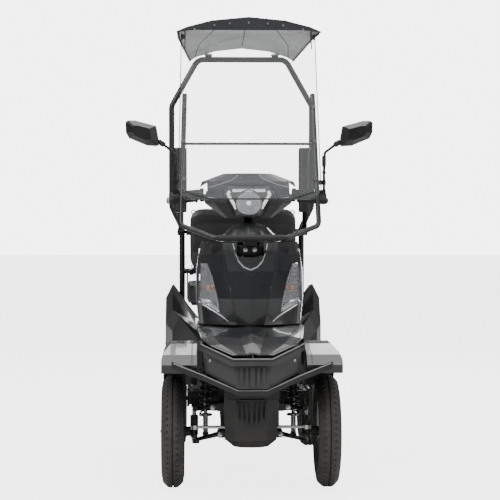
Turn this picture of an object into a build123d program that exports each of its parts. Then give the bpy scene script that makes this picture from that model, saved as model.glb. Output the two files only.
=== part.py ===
from build123d import *
import math
import os

# A four-wheel mobility scooter with a windscreen and a roof canopy.
# Frame: +X to the scooter's left, -Y ahead, +Z up, origin on the ground under the middle.

# Wheels and chassis
WHEELBASE = 1040.0
FRONT_Y = -480.0                    # front axle
REAR_Y = FRONT_Y + WHEELBASE
HALF_TRACK = 285.0
TYRE_R = 206.0
TYRE_W = 82.0
RIM_R = 127.0
RIM_W = 56.0
HUB_R = 27.0
HUB_LEN = 58.0
AXLE_R = 9.0
RUN = 0.05                          # running clearance on a radius
GAP = 0.5                           # clearance between fitted covers
WALL = 3.0                          # plastic cover thickness
RAIL_X = 95.0                       # middle of each main rail
RAIL_W = 30.0
RAIL_Z = 260.0
RAIL_H = 50.0

# Front suspension
LOW_IN = (111.0, 199.0)             # lower arm pivot (x, z)
LOW_OUT = (207.0, 175.0)
UP_IN = (139.0, 299.0)
UP_OUT = (207.0, 286.0)
BARREL_R = 11.0
BARREL_LEN = 80.0
PIN_R = 5.0
LUG = 6.0                           # bracket plate thickness
KING_X = LOW_OUT[0]                 # kingpin axis
KING_R = 8.0
BALL_R = 10.0
BALL_PLAY = 1.4                     # extra clearance of the upper ball joint
STEER_ARM = 80.0                    # kingpin to tie rod stud, ahead
TIE_Z = 232.0
STUD_R = 5.0
DAMPER_X = 165.0
DAMPER_Y = FRONT_Y + 75.0           # the dampers stand behind the arms
DAMPER_TOP = 420.0
COLUMN_FOOT = (0.0, -470.0, 425.0)   # lower end of the inclined steering column

# Steering
NECK_Y, NECK_Z = -290.0, 900.0      # tiller tilt pivot
RAKE = 25.0                         # tiller lean, degrees from vertical
BAR_R = 11.0
GRIP_R = 16.0
GRIP_IN, GRIP_OUT = 198.0, 300.0
# Half of the handlebar's line, in tiller coordinates
BAR_POINTS = [(0, 0, 196), (90, 0, 196), (170, 28, 208), (GRIP_OUT, 66, 210)]

# Rear end
SWING_Y, SWING_Z = 320.0, 205.0     # swing arm pivot
SHOCK_X, SHOCK_Y = 170.0, 625.0
SHOCK_TOP = 500.0
SHOCK_ROD_R = 5.0                     # tilts inside its tube as the axle moves

# Body
FLOOR_Z = 330.0
FLOOR_HALF = 235.0
LEG_Y = -262.0                      # front face of the rear leg panel
FLOOR_FRONT, FLOOR_REAR = LEG_Y + 3.3, 135.0
MAT_T = 4.0
NOSE_Y = -810.0
TAIL_Y = 810.0
COWL_BASE, COWL_TOP = 603.0, 905.0
FENDER_HALF = 335.0
FENDER_TOP = 705.0
WING_IN, WING_OUT = 196.0, 324.0     # inner and outer faces of a front wing

# Seat
POST_Y = 280.0
POST_R = 24.0
SPIGOT_R = 12.0                     # swivel spigot in the post
PAN_Z = 640.0                       # underside of the seat pan
SEAT_HALF = 235.0
SEAT_FRONT, SEAT_REAR = 55.0, 480.0
CUSHION_T = 75.0
BACK_Y = 485.0                      # front face of the backrest
BACK_T = 60.0
BACK_HINGE = (515.0, 760.0)         # backrest fold axis (y, z)
BACK_TOP = 1030.0
ARM_X = 270.0
ARM_PIVOT = (560.0, 930.0)          # armrest pivot (y, z)

# Canopy
HOOP_Y = 700.0
HOOP_R = 12.5
HOOP_HALF = 310.0
HOOP_TOP = 1690.0
HOOP_BASE_X = 264.0
LEG_X = 250.0                        # windscreen frame's leg, for the mirror clamps
HOOP_TOP_HALF = 194.0
SCREEN_BOTTOM = (-500.0, 1062.0)    # windscreen middle line (y, z)
SCREEN_TOP = (-285.0, 1700.0)
SCREEN_T = 3.0
UBAR_R = 9.5
UBAR_Y = -548.0
ROOF_FRONT, ROOF_REAR = -330.0, 720.0
ROOF_HALF = 275.0
ROOF_TOP = 1775.0
ROOF_T = 4.0
SCREW_R = 4.0

NECK_DIR = Vector(0, math.sin(math.radians(RAKE)), math.cos(math.radians(RAKE)))
NECK = Vector(0, NECK_Y, NECK_Z)
NECK_PLANE = Plane(origin=(0, NECK_Y, NECK_Z), x_dir=(1, 0, 0), z_dir=tuple(NECK_DIR))


def block(x0, x1, y0, y1, z0, z1):
    """A box between two corners."""
    return Pos((x0 + x1) / 2, (y0 + y1) / 2, (z0 + z1) / 2) * Box(abs(x1 - x0), abs(y1 - y0), abs(z1 - z0))


def rod(p, q, r):
    """A round bar between two points."""
    p, q = Vector(*p), Vector(*q)
    axis = q - p
    return Plane(origin=p, z_dir=axis) * Cylinder(r, axis.length,
                                                  align=(Align.CENTER, Align.CENTER, Align.MIN))


def ring(p, q, r, bore):
    """A round sleeve between two points."""
    p, q = Vector(*p), Vector(*q)
    unit = (q - p).normalized()
    return rod(tuple(p), tuple(q), r) - rod(tuple(p - unit), tuple(q + unit), bore)


def polygon_face(points):
    """A planar face through points."""
    return Face(Wire.make_polygon([Vector(*p) for p in points], close=True))


def slab(points, axis, start, end):
    """A prism: (a, b) points in the plane across an axis, from start to end along it."""
    place = {
        "x": lambda a, b: (start, a, b),
        "y": lambda a, b: (a, start, b),
        "z": lambda a, b: (a, b, start),
    }[axis]
    run = {"x": (1, 0, 0), "y": (0, 1, 0), "z": (0, 0, 1)}[axis]
    face = polygon_face([place(a, b) for a, b in points])
    return Solid.extrude(face, Vector(*run) * (end - start))


def mirrored(shape):
    """The same shape on the other side."""
    return shape.mirror(Plane.YZ)


def both(shape):
    """A shape and its mirror image, apart."""
    return Compound(children=[*shape.solids(), *mirrored(shape).solids()])


def group(*shapes):
    """Separate solids kept in one node."""
    return Compound(children=[s for shape in shapes for s in shape.solids()])


def bent_tube(points, bend, r, bore=None):
    """A tube along straight runs joined by arcs."""
    path = FilletPolyline(*[Vector(*p) for p in points], radius=bend)
    start = Plane(origin=path @ 0, z_dir=path % 0)
    tube = sweep(start * Circle(r), path)
    if bore:
        tube = tube - sweep(start * Circle(bore), path)
    return tube


def cover(levels, wall, across, inward):
    """A thin cover lofted over outlines.

    Each level is (position, half outline from the middle outward). The outlines lie in
    planes across the axis, and the wall goes inward (+1 or -1) along the second coordinate.
    """
    wires = []
    for position, half in levels:
        widest = max(a for a, b in half)
        outer = [(-a, b) for a, b in reversed(half) if a > 0] + list(half)
        inner = []
        for a, b in reversed(outer):
            side = wall if abs(a) > 0.95 * widest else 0
            inner.append((a - math.copysign(side, a), b + inward * wall))
        if across == "z":
            points = [(a, b, position) for a, b in outer + inner]
        else:
            points = [(a, position, b) for a, b in outer + inner]
        wires.append(Wire.make_polygon([Vector(*p) for p in points], close=True))
    return Solid.make_loft(wires, ruled=True)


def coil(x, y, z0, z1, radius, wire, turns):
    """A spring standing upright."""
    height = z1 - z0 - 2 * wire
    helix = Pos(x, y, z0 + wire) * Helix(pitch=height / turns, height=height, radius=radius)
    start = Plane(origin=helix @ 0, z_dir=helix % 0)
    return sweep(start * Circle(wire), helix, is_frenet=True)


def column_point(z):
    """Point on the steering column's axis at a height."""
    share = (z - COLUMN_FOOT[2]) / (NECK_Z - COLUMN_FOOT[2])
    return (0, COLUMN_FOOT[1] + share * (NECK_Y - COLUMN_FOOT[1]), z)


# ---------------------------------------------------------------- chassis


def shock_towers():
    """Towers that carry the front dampers' upper ends."""
    arm = slab([(60, 290), (106, 290), (124, DAMPER_TOP + 4), (DAMPER_X + 22, DAMPER_TOP + 4),
                (DAMPER_X + 22, DAMPER_TOP + 16), (60, DAMPER_TOP + 16)], "y", DAMPER_Y - 24, DAMPER_Y + 14)
    return arm + mirrored(arm)


def arm_brackets(pivot, reach):
    """Lugs and pin of one suspension arm pivot, both sides."""
    x, z = pivot
    half = BARREL_LEN / 2 + 0.3
    pin = rod((x, FRONT_Y - half - LUG - 4, z), (x, FRONT_Y + half + LUG + 4, z), PIN_R)
    side = pin
    for s in (-1, 1):
        y = FRONT_Y + s * (half + LUG / 2)
        plate = block(reach, x, y - LUG / 2, y + LUG / 2, z - 12, z + 12)
        side = side + plate + rod((x, y - LUG / 2, z), (x, y + LUG / 2, z), 12)
    return side + mirrored(side)


def make_frame():
    """Welded steel chassis frame."""
    bar = RAIL_W / 2
    low, top = RAIL_Z - RAIL_H / 2, RAIL_Z + RAIL_H / 2
    rail = block(RAIL_X - bar, RAIL_X + bar, FRONT_Y + 60, 455, low, top)
    rail = rail + slab([(425, low), (455, low), (520, 440), (520, 480), (490, 480), (425, top)],
                       "x", RAIL_X - bar, RAIL_X + bar)
    rail = rail + block(RAIL_X - bar, RAIL_X + bar, 490, 770, 440, 480)
    half = BARREL_LEN / 2 + LUG + 0.3
    cross_low = block(-94, 94, FRONT_Y - half, FRONT_Y + half, 178, 202)
    cross_top = block(-122, 122, FRONT_Y - half, FRONT_Y + half, 285, 315)
    web = block(-60, 60, FRONT_Y + 30, FRONT_Y + half, 178, 315)
    spine = block(-110, 110, FRONT_Y + half - 6, FRONT_Y + 90, 190, 300)
    nose = block(-70, -45, -700, FRONT_Y - half + 5, 350, 380) + block(45, 70, -700, FRONT_Y - half + 5,
                                                                       350, 380)
    nose = nose + block(-70, 70, FRONT_Y - half, FRONT_Y + half, 314, 380)
    frame = rail + mirrored(rail) + cross_low + cross_top + web + spine + nose + shock_towers()
    frame = frame + arm_brackets(LOW_IN, 90) + arm_brackets(UP_IN, 118)
    frame = frame + block(-100, 100, -701, -691, 352, 495)
    for y in (-180, 40, 160):
        frame = frame + block(-FLOOR_HALF + 15, FLOOR_HALF - 15, y - 15, y + 15, RAIL_Z, top + 20)
    frame = frame + block(-80, 80, 440, 452, low + 29, top)
    frame = frame + block(-124, 124, SHOCK_Y - 22, SHOCK_Y + 22, 455, 480)
    shock_ear = block(108, 124, SHOCK_Y - 22, SHOCK_Y + 22, 455, SHOCK_TOP + 12)
    shock_ear = shock_ear + block(108, SHOCK_X + 27, SHOCK_Y - 22, SHOCK_Y + 22, SHOCK_TOP, SHOCK_TOP + 12)
    frame = frame + shock_ear + mirrored(shock_ear)
    # Column tube that carries the steering and the tiller, on two mast plates
    for s in (-1, 1):
        frame = frame + slab([(-526, 370), (-434, 370), (-384, 590), (-430, 590)], "x", s * 24, s * 32)
    frame = frame + rod(column_point(455), column_point(825), 25)
    ears = block(-38, 38, NECK_Y - 42, NECK_Y + 20, NECK_Z - 100, NECK_Z - 84)
    for s in (-1, 1):
        ears = ears + slab([(NECK_Y - 42, NECK_Z - 100), (NECK_Y + 20, NECK_Z - 100),
                            (NECK_Y + 16, NECK_Z + 14),
                            (NECK_Y - 16, NECK_Z + 14)], "x", s * 30, s * 38)
        ears = ears + rod((s * 13, NECK_Y, NECK_Z), (s * 42, NECK_Y, NECK_Z), 8)
    frame = frame + ears + block(-22, 22, -436, NECK_Y - 30, 796, 812) + block(-22, 22, -439.7, -432, 796,
                                                                               903)
    frame = frame - rod(column_point(400), column_point(840), 19)
    for z in (462, 806):
        frame = frame + ring(column_point(z), column_point(z + 14), 19.5, 8 + RUN)
    # Post socket
    frame = frame + block(-80, 80, POST_Y - 40, POST_Y + 40, RAIL_Z - 10, RAIL_Z + 20)
    frame = frame - rod((0, POST_Y, RAIL_Z - 5), (0, POST_Y, RAIL_Z + 30), POST_R + RUN)
    # Swing arm lugs and pin
    for x in (60, -60):
        frame = frame + block(x - 4, x + 4, SWING_Y - 16, SWING_Y + 16, SWING_Z - 14, 250)
        frame = frame + block(x - 4, x + 4, SWING_Y - 16, SWING_Y + 16, 235, 255)
    frame = frame + block(-80, 80, SWING_Y - 16, SWING_Y + 16, 240, 262)
    frame = frame + rod((-68, SWING_Y, SWING_Z), (68, SWING_Y, SWING_Z), PIN_R + 2)
    # Damper tube holes and pitman shaft hole
    for x in (DAMPER_X, -DAMPER_X):
        frame = frame - rod((x, DAMPER_Y, DAMPER_TOP - 10), (x, DAMPER_Y, DAMPER_TOP + 30), 6)
    for x in (SHOCK_X, -SHOCK_X):
        frame = frame - rod((x, SHOCK_Y, SHOCK_TOP - 10), (x, SHOCK_Y, SHOCK_TOP + 30), 6)
    return frame - rod((0, FRONT_Y, 170), (0, FRONT_Y, 400), 10 + RUN)


def make_floor_pan():
    """Footboard with raised edges."""
    top, t = FLOOR_Z, 4.0
    low = RAIL_Z + RAIL_H / 2 + 20 + GAP
    pan = block(-FLOOR_HALF, FLOOR_HALF, FLOOR_FRONT, FLOOR_REAR, top - t, top)
    for s in (-1, 1):
        pan = pan + block(s * FLOOR_HALF, s * (FLOOR_HALF - 8), FLOOR_FRONT, FLOOR_REAR, top - 60, top + 8)
    pan = pan + block(-FLOOR_HALF, FLOOR_HALF, FLOOR_FRONT, FLOOR_FRONT + t, top - 30, top)
    for y in (-180, 40):
        pan = pan + block(-FLOOR_HALF + 20, FLOOR_HALF - 20, y - 12, y + 12, low, top)
    return pan


def make_floor_mat():
    """Ribbed rubber mat on the footboard."""
    inset = 24.0
    low = FLOOR_Z
    mat = block(-FLOOR_HALF + inset, FLOOR_HALF - inset, FLOOR_FRONT + inset, FLOOR_REAR - inset, low,
                low + MAT_T)
    pitch, count = 34.0, 12
    for i in range(count):
        x = (i - (count - 1) / 2) * pitch
        mat = mat + block(x - 5, x + 5, FLOOR_FRONT + inset + 12, FLOOR_REAR - inset - 12,
                          low + MAT_T - 1, low + MAT_T + 2)
    return mat


def make_seat_post():
    """Fixed seat post with its top bearing plate."""
    post = rod((0, POST_Y, RAIL_Z - 5), (0, POST_Y, PAN_Z - 32), POST_R)
    post = post + rod((0, POST_Y, PAN_Z - 40), (0, POST_Y, PAN_Z - 32), 55)
    return post - rod((0, POST_Y, PAN_Z - 65), (0, POST_Y, PAN_Z), SPIGOT_R + RUN)


def make_power_pack():
    """Two batteries and the motor controller."""
    top = RAIL_Z + RAIL_H / 2
    battery = block(30, 195, 182, 422, top, top + 195)
    battery = battery + block(60, 75, 200, 215, top + 195, top + 203) + block(150, 165, 200, 215,
                                                                              top + 195, top + 203)
    controller = block(-95, 95, 530, 595, 480, 530)
    for i in range(6):
        x = -62.5 + 25 * i
        controller = controller + block(x - 3, x + 3, 532, 598, 529, 542)
    return group(battery, mirrored(battery), controller)


def make_damper_tubes():
    """Upper tubes of the four coil-over dampers."""
    def tube(x, y, top, length, r, bore):
        body = ring((x, y, top - length), (x, y, top), r, bore) + rod((x, y, top - 6), (x, y, top), r)
        stem = rod((x, y, top), (x, y, top + 11), 6 - RUN)
        return body + stem + ring((x, y, top - 16), (x, y, top - 8), r + 9, r - 1)
    front = tube(DAMPER_X, DAMPER_Y, DAMPER_TOP + 4, 100, 15, 12)
    rear = tube(SHOCK_X, SHOCK_Y, SHOCK_TOP, 130, 19, 17)
    return group(both(front), both(rear))


def make_springs():
    """The four coil springs."""
    front = coil(DAMPER_X, DAMPER_Y, 262, DAMPER_TOP - 12.5, 20.5, 3.5, 6)
    rear = coil(SHOCK_X, SHOCK_Y, 302, SHOCK_TOP - 16.5, 24.2, 4.0, 7)
    return group(both(front), both(rear))


# ---------------------------------------------------------------- front body


def cowl_body():
    """Leg shield skin from its base to its top."""
    levels = []
    for z, half, side_y, mid, mid_y, nose_y in (
        (COWL_BASE, 190, -420, 50, -535, -548),
        (700, 200, -405, 68, -548, -556),
        (800, 200, -390, 84, -536, -540),
        (860, 196, -375, 96, -515, -517),
        (COWL_TOP, 183, -365, 104, -490, -490),
    ):
        levels.append((z, [(0, nose_y), (mid, mid_y), (half - 18, side_y - 60), (half, side_y),
                           (half - 6, LEG_Y)]))
    return cover(levels, WALL, "z", 1)


def make_cowl():
    """Front leg shield with a V-shaped middle panel, closed by the rear leg panel."""
    shell = cowl_body()
    # Recess for the windscreen mount, lamp windows and upper vents
    shell = shell - block(-50, 50, -600, -440, 852, 906) - lamp_shape(0)
    vent = slab([(118, 885), (140, 872), (146, 892)], "y", -600, -440)
    shell = shell - vent - mirrored(vent)
    shell = shell + block(-182, 182, LEG_Y, LEG_Y + WALL, COWL_BASE - 1, 845)
    return shell + block(-176, 176, LEG_Y, LEG_Y + WALL, FLOOR_Z + 10, COWL_BASE)


def lamp_shape(inset):
    """Prism through the turn lamp windows, drawn in towards their middle by an inset, both sides."""
    outline = [(158, 829), (187, 829), (190, 690), (188, 682), (110, 644), (119, 700), (137, 775)]
    mid_x, mid_z = 156.0, 736.0
    points = []
    for x, z in outline:
        share = 1 - inset / math.hypot(mid_x - x, mid_z - z)
        points.append((mid_x + (x - mid_x) * share, mid_z + (z - mid_z) * share))
    prism = slab(points, "y", -620, -393)
    return prism + mirrored(prism)


def make_lamp_lenses():
    """Clear lenses of the front turn lamps and the red tail lamps."""
    turn = cowl_body() & lamp_shape(1.6 * GAP)
    tail = slab([(175, 430), (232, 436), (242, 510), (185, 520)], "y", TAIL_Y - 6, TAIL_Y - 0.5)
    return group(turn, both(tail))


def make_cowl_top():
    """Top panel between the leg shield and the tiller."""
    levels = []
    for y, half, z_mid, z_side in ((-488, 104, 5.4, 3.4), (-430, 142, 31, 9), (-370, 120, 59, 9),
                                   (-322, 72, 72, 11)):
        middle = COWL_TOP + z_mid
        levels.append((y, [(0, middle), (half * 0.55, middle - 2), (half, COWL_TOP + z_side)]))
    top = cover(levels, WALL, "y", -1)
    return top


def make_deck():
    """Glossy front deck with its centre ridge and inner skirts."""
    levels = []
    for y, points in (
        (-797, [(0, 522), (24, 517), (55, 518), (72, 516)]),
        (-745, [(0, 556), (34, 545), (110, 550), (150, 546)]),
        (-690, [(0, 584), (42, 568), (140, 575), (182, 566)]),
        (-560, [(0, 600), (60, 594), (150, 598), (195.5, 600)]),
        (LEG_Y - GAP, [(0, 600), (60, 599), (150, 599), (195.5, 600)]),
    ):
        levels.append((y, points))
    deck = cover(levels, WALL, "y", -1)
    skirt = block(192, 195.5, -560, LEG_Y - GAP, 455, 599)
    deck = deck + skirt + mirrored(skirt)
    return deck - rod(column_point(560), column_point(640), 25.3)


def wing_profile(clear, drop):
    """Side outline of a wing: the arch over the tyre and the outer skin, dropped inward."""
    arch = []
    for angle in range(68, 145, 4):
        a = math.radians(angle)
        arch.append((FRONT_Y - clear * math.cos(a), TYRE_R + clear * math.sin(a)))
    skin = [(222, 354), (205, 452), (100, 534), (-90, 538), (-205, 508), (-240, 474), (-236, 444)]
    share = 1 - drop / 235
    return arch + [(FRONT_Y + y * share, z - drop) for y, z in skin]


def wing_slope(drop):
    """Prism off the outer top edge of a wing, lowered by a wall."""
    points = [(WING_OUT + 5, 478 - drop), (WING_OUT + 5, 560), (220, 560 - drop), (292, 538 - drop),
              (WING_OUT - 9, 515 - drop)]
    return slab(points, "y", FRONT_Y - 300, FRONT_Y + 300)


def make_front_wings():
    """Hollow wings over the front tyres."""
    clear = TYRE_R + 44
    wing = slab(wing_profile(clear, 0), "x", WING_IN, WING_OUT) - wing_slope(0)
    arch_points = wing_profile(clear - 30, WALL + 1)
    core = slab(arch_points, "x", WING_IN - 1, WING_OUT - WALL - 1) - wing_slope(WALL + 1)
    return both(wing - core)


def bumper_shell(half, thick):
    """Upright band that follows a half plan outline, as deep as a thickness."""
    outer = [(-x, y) for x, y in reversed(half) if x > 0] + list(half)
    inner = [(x, y + thick) for x, y in reversed(outer)]
    return slab(outer + inner, "z", 340, 600)


def bumper_face(top, bottom):
    """Prism through a front outline given by its half top and bottom edges."""
    half = list(top) + list(reversed(bottom))
    outline = [(-x, z) for x, z in reversed(half) if x > 0] + [(x, z) for x, z in half if x > 0]
    return slab(outline, "y", NOSE_Y - 30, NOSE_Y + 200)


def make_bumper_bar():
    """Upper bumper bar that rises towards its ends."""
    half = [(0, NOSE_Y + 4), (66, NOSE_Y + 4), (168, NOSE_Y + 56), (187, NOSE_Y + 84)]
    face = bumper_face([(69, 506), (164, 546), (187, 556)], [(78, 479), (187, 529)])
    lower = [(x, y - 9) for x, y in half]
    swell = bumper_shell(lower, 10) & bumper_face([(73, 493), (187, 543)], [(78, 479), (187, 529)])
    bar = (bumper_shell(half, 8) & face) + swell
    return bar + block(-60, 60, NOSE_Y + 6, -701.5, 482, 488)


def make_bumper_panel():
    """Grey bumper panel with slats in its middle."""
    half = [(0, NOSE_Y + 24), (62, NOSE_Y + 24), (176, NOSE_Y + 80)]
    face = bumper_face([(66, 479.5), (176, 528)], [(50, 396), (165, 449)])
    panel = bumper_shell(half, 5) & face
    for x in (-44, -22, 0, 22, 44):
        w = 8.5 if x == 0 else 5.0
        y = NOSE_Y + 24
        low = 402 if abs(x) < 40 else 412
        slat = slab([(y - 7, 474), (y + 3, 474), (y + 3, low), (y - 2, low)], "x", x * 0.9 - w, x * 0.9 + w)
        panel = panel + slat
    return panel + block(-60, 60, NOSE_Y + 27, -701.5, 440, 452)


def make_bumper_lip():
    """Black lower lip that rises out to the wings."""
    half = [(0, NOSE_Y + 34), (54, NOSE_Y + 34), (172, NOSE_Y + 62), (286, NOSE_Y + 66)]
    face = bumper_face([(52, 393), (172, 444), (286, 489)], [(50, 370), (172, 420), (286, 464)])
    return (bumper_shell(half, 8) & face) + block(-60, 60, NOSE_Y + 40, -701.5, 374, 388)


def make_belly_cover():
    """Ribbed black cover below the nose."""
    levels = []
    for z, half, y in ((162, 62, -600), (190, 92, -625), (300, 101, -650), (343, 99, -655)):
        levels.append((z, [(0, y - 8), (half * 0.6, y), (half, y + 26)]))
    belly = cover(levels, 4.0, "z", 1)
    for i in range(7):
        x = (i - 3) * 17.0
        low = 230 - 8 * (3 - abs(i - 3))
        belly = belly + block(x - 3, x + 3, -665, -650, low + 40, 335)
    strut = block(-40, 40, -652, FRONT_Y - 46.5, 326, 338)
    return belly + strut


# ---------------------------------------------------------------- rear body


def make_rear_body():
    """Rear cover with its two fenders."""
    def section(y, half, top, crown, side_low):
        return (y, [(0, crown), (half * 0.62, crown - 4), (half - 30, top), (half, top - 60),
                    (half, side_low)])
    levels = [
        section(142, 205, 470, 500, 336),
        section(230, 300, 585, 520, 420),
        section(450, FENDER_HALF - 2, 600, 545, 450),
        section(540, FENDER_HALF - 2, FENDER_TOP, 560, 440),
        section(680, FENDER_HALF - 8, FENDER_TOP - 12, 560, 430),
        section(750, FENDER_HALF - 30, 650, 545, 420),
        section(790, 270, 590, 520, 400),
    ]
    body = cover(levels, WALL, "y", -1)
    face = slab([(-200, 300), (200, 300), (200, 440), (120, 490), (-120, 490), (-200, 440)], "y", 138,
                141.8)
    body = body + face + block(-200, 200, 140, 144, 336, 440)
    body = body - rod((0, POST_Y, 400), (0, POST_Y, 700), POST_R + 4)
    for s in (-1, 1):
        body = body - rod((s * HOOP_BASE_X, HOOP_Y, 400), (s * HOOP_BASE_X, HOOP_Y, 800), HOOP_R + 0.4)
    return body


def make_rear_bumper():
    """Tail panel below the rear cover."""
    panel = slab([(-230, 400), (230, 400), (255, 520), (180, 540), (-180, 540), (-255, 520)], "y", 794,
                 TAIL_Y - 6)
    arms = block(80, 110, 770, 794.5, 445, 475)
    for z in (430, 455, 480):
        panel = panel + block(-150, 150, TAIL_Y - 7, TAIL_Y, z - 5, z + 5)
    return panel + arms + mirrored(arms)


def make_charge_socket():
    """Round charging socket in the rear leg panel."""
    y = LEG_Y + WALL
    body = rod((90, y, 780), (90, y + 9, 780), 17)
    return body - rod((90, y + 2, 780), (90, y + 12, 780), 9.5)


# ---------------------------------------------------------------- canopy

def make_rear_hoop():
    """Rear canopy hoop with its cross-tube and feet."""
    right = [(0, HOOP_Y, HOOP_TOP), (HOOP_TOP_HALF, HOOP_Y, HOOP_TOP), (HOOP_HALF, HOOP_Y, 1485),
             (HOOP_HALF, HOOP_Y, 1040), (HOOP_BASE_X, HOOP_Y, 945), (HOOP_BASE_X, HOOP_Y, 452)]
    left = [(-x, y, z) for x, y, z in reversed(right)]
    hoop = bent_tube(left[:-1] + right[1:], 45, HOOP_R, HOOP_R - 2)
    hoop = hoop + rod((-HOOP_BASE_X + 6, HOOP_Y, 755), (HOOP_BASE_X - 6, HOOP_Y, 755), HOOP_R - 1)
    foot = block(RAIL_X + RAIL_W / 2, HOOP_BASE_X + 14, HOOP_Y - 14, HOOP_Y + 14, 445, 453)
    tab = block(132, 162, HOOP_Y - 4, HOOP_Y + 4, HOOP_TOP + 9, 1715.2)
    return hoop + foot + mirrored(foot) + tab + mirrored(tab)


def screen_point(z):
    """The y of the windscreen's middle line at a height."""
    share = (z - SCREEN_BOTTOM[1]) / (SCREEN_TOP[1] - SCREEN_BOTTOM[1])
    return SCREEN_BOTTOM[0] + share * (SCREEN_TOP[0] - SCREEN_BOTTOM[0])


def make_windscreen():
    """Clear sheet, curved back at both sides."""
    wires = []
    for z, half in ((SCREEN_BOTTOM[1], 240), (SCREEN_BOTTOM[1] + 40, 268), (SCREEN_TOP[1], 258)):
        y = screen_point(z)
        outer = [(0, y), (half * 0.62, y + 6), (half * 0.93, y + 20), (half, y + 52)]
        front = [(-a, b, z) for a, b in reversed(outer[1:])] + [(a, b, z) for a, b in outer]
        back = [(a * (1 - SCREEN_T / half), b + SCREEN_T, z) for a, b, z in reversed(front)]
        wires.append(Wire.make_polygon([Vector(*p) for p in front + back], close=True))
    sheet = Solid.make_loft(wires, ruled=True)
    for x, y, z in screen_bolts():
        sheet = sheet - rod((x, y - 20, z), (x, y + 20, z), 3.6) - rod((-x, y - 20, z), (-x, y + 20, z),
                                                                       3.6)
    return sheet


def screen_bolts():
    """Places where bolts hold the windscreen to its frame: (x, front of the sheet, z)."""
    return [(244, screen_point(z) + 20, z) for z in (1142, 1284, 1414)]


def make_screen_frame():
    """Steel tube that carries the windscreen, with its crossbar and roof gussets."""
    legs_top = 1465.0

    def behind(z):
        return screen_point(z) + 68

    right = [(0, UBAR_Y, 923), (131, UBAR_Y, 923), (256, -470, 968), (252, behind(1100), 1100),
             (243, behind(legs_top), legs_top)]
    left = [(-x, y, z) for x, y, z in reversed(right)]
    tube = bent_tube(left[:-1] + right[1:], 28, UBAR_R, UBAR_R - 2)
    tube = tube + block(-24, 24, UBAR_Y - 1, -440, 895, 903) + block(-24, 24, UBAR_Y - 2, UBAR_Y + 8, 900,
                                                                     916)
    z = 1275.0
    bar = rod((-242, behind(z) + 14, z), (242, behind(z) + 14, z), 5)
    for s in (-1, 1):
        bar = bar + block(s * 238, s * 254, behind(z) + 9.6, behind(z) + 19, z - 8, z + 8)
    gusset = slab([(screen_point(1640) + 44, 1640), (-190, 1711.2), (-235, 1711.2)], "x", 240, 244)
    return group(tube, bar, both(gusset))


def make_roof():
    """Arched roof panel."""
    levels = []
    for y, half, top in ((ROOF_FRONT + 42, ROOF_HALF - 2, ROOF_TOP - 18), (100, ROOF_HALF, ROOF_TOP),
                         (ROOF_REAR, ROOF_HALF - 40, ROOF_TOP - 30)):
        levels.append((y, [(0, top), (half * 0.5, top - 13), (half * 0.85, top - 38), (half, top - 56)]))
    return cover(levels, ROOF_T, "y", -1)



def roof_levels(front, rear):
    """Half outlines of the roof at its front and back."""
    return [(y, [(0, top), (half * 0.5, top - 13), (half * 0.85, top - 38), (half, top - 56)])
            for y, half, top in ((front, ROOF_HALF + 1, ROOF_TOP - 20),
                                 (rear, ROOF_HALF - 2, ROOF_TOP - 18))]


def make_roof_visor():
    """Dark front band of the roof with a straight lower edge."""
    seam = ROOF_FRONT + 42 - GAP
    band = cover(roof_levels(ROOF_FRONT, seam), ROOF_T, "y", -1)
    (y, half), _ = roof_levels(ROOF_FRONT, seam)
    points = [(-a, b - 1) for a, b in reversed(half) if a > 0] + [(a, b - 1) for a, b in half]
    face = slab(points + [(205, 1705), (-205, 1705)], "y", ROOF_FRONT, ROOF_FRONT + ROOF_T)
    return band + face


def make_canopy_screws():
    """Screws of the visor and of the windscreen."""
    screws = []
    for x in (0, 72, 130, 205):
        z = 1733 - 0.0006 * x * x
        head = rod((x, ROOF_FRONT - 3, z), (x, ROOF_FRONT, z), SCREW_R)
        screws.append(head if x == 0 else both(head))
    for x, y, z in screen_bolts():
        bolt = rod((x, y - 9, z), (x, y - 4.2, z), 7) + rod((x, y - 5, z), (x, y + 36.5, z), 3)
        screws.append(both(bolt))
    return group(*screws)


# ---------------------------------------------------------------- tiller and handlebar


def in_neck(shape):
    """Place a shape made in tiller coordinates: x across, y back, z along the tiller."""
    return NECK_PLANE * shape


def make_steering_column():
    """Inclined steering shaft with the universal joint's ball at its top."""
    return rod(column_point(COLUMN_FOOT[2] + 8), tuple(NECK), 8) + Pos(*NECK) * Sphere(10)


def make_tiller_neck():
    """Tilting neck that carries the handlebar stem."""
    neck = ring((0, 0, 16), (0, 0, 130), 21, 12.5 + RUN)
    for s in (-1, 1):
        neck = neck + ring((s * 13, 0, 0), (s * 29, 0, 0), 16, 8 + RUN)
        cheek = block(s * 13, s * 26, -14, 14, 6, 40) - rod((0, 0, 0), (0, 0, 60), 12.5 + RUN)
        neck = neck + (cheek - rod((s * 40, 0, 0), (0, 0, 0), 8 + RUN))
    return in_neck(neck)


def bar_point(x):
    """Point on the straight outer run of the handlebar, in tiller coordinates."""
    (x0, y0, z0), (x1, y1, z1) = BAR_POINTS[2:]
    share = (x - x0) / (x1 - x0)
    return (x, y0 + share * (y1 - y0), z0 + share * (z1 - z0))


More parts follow.
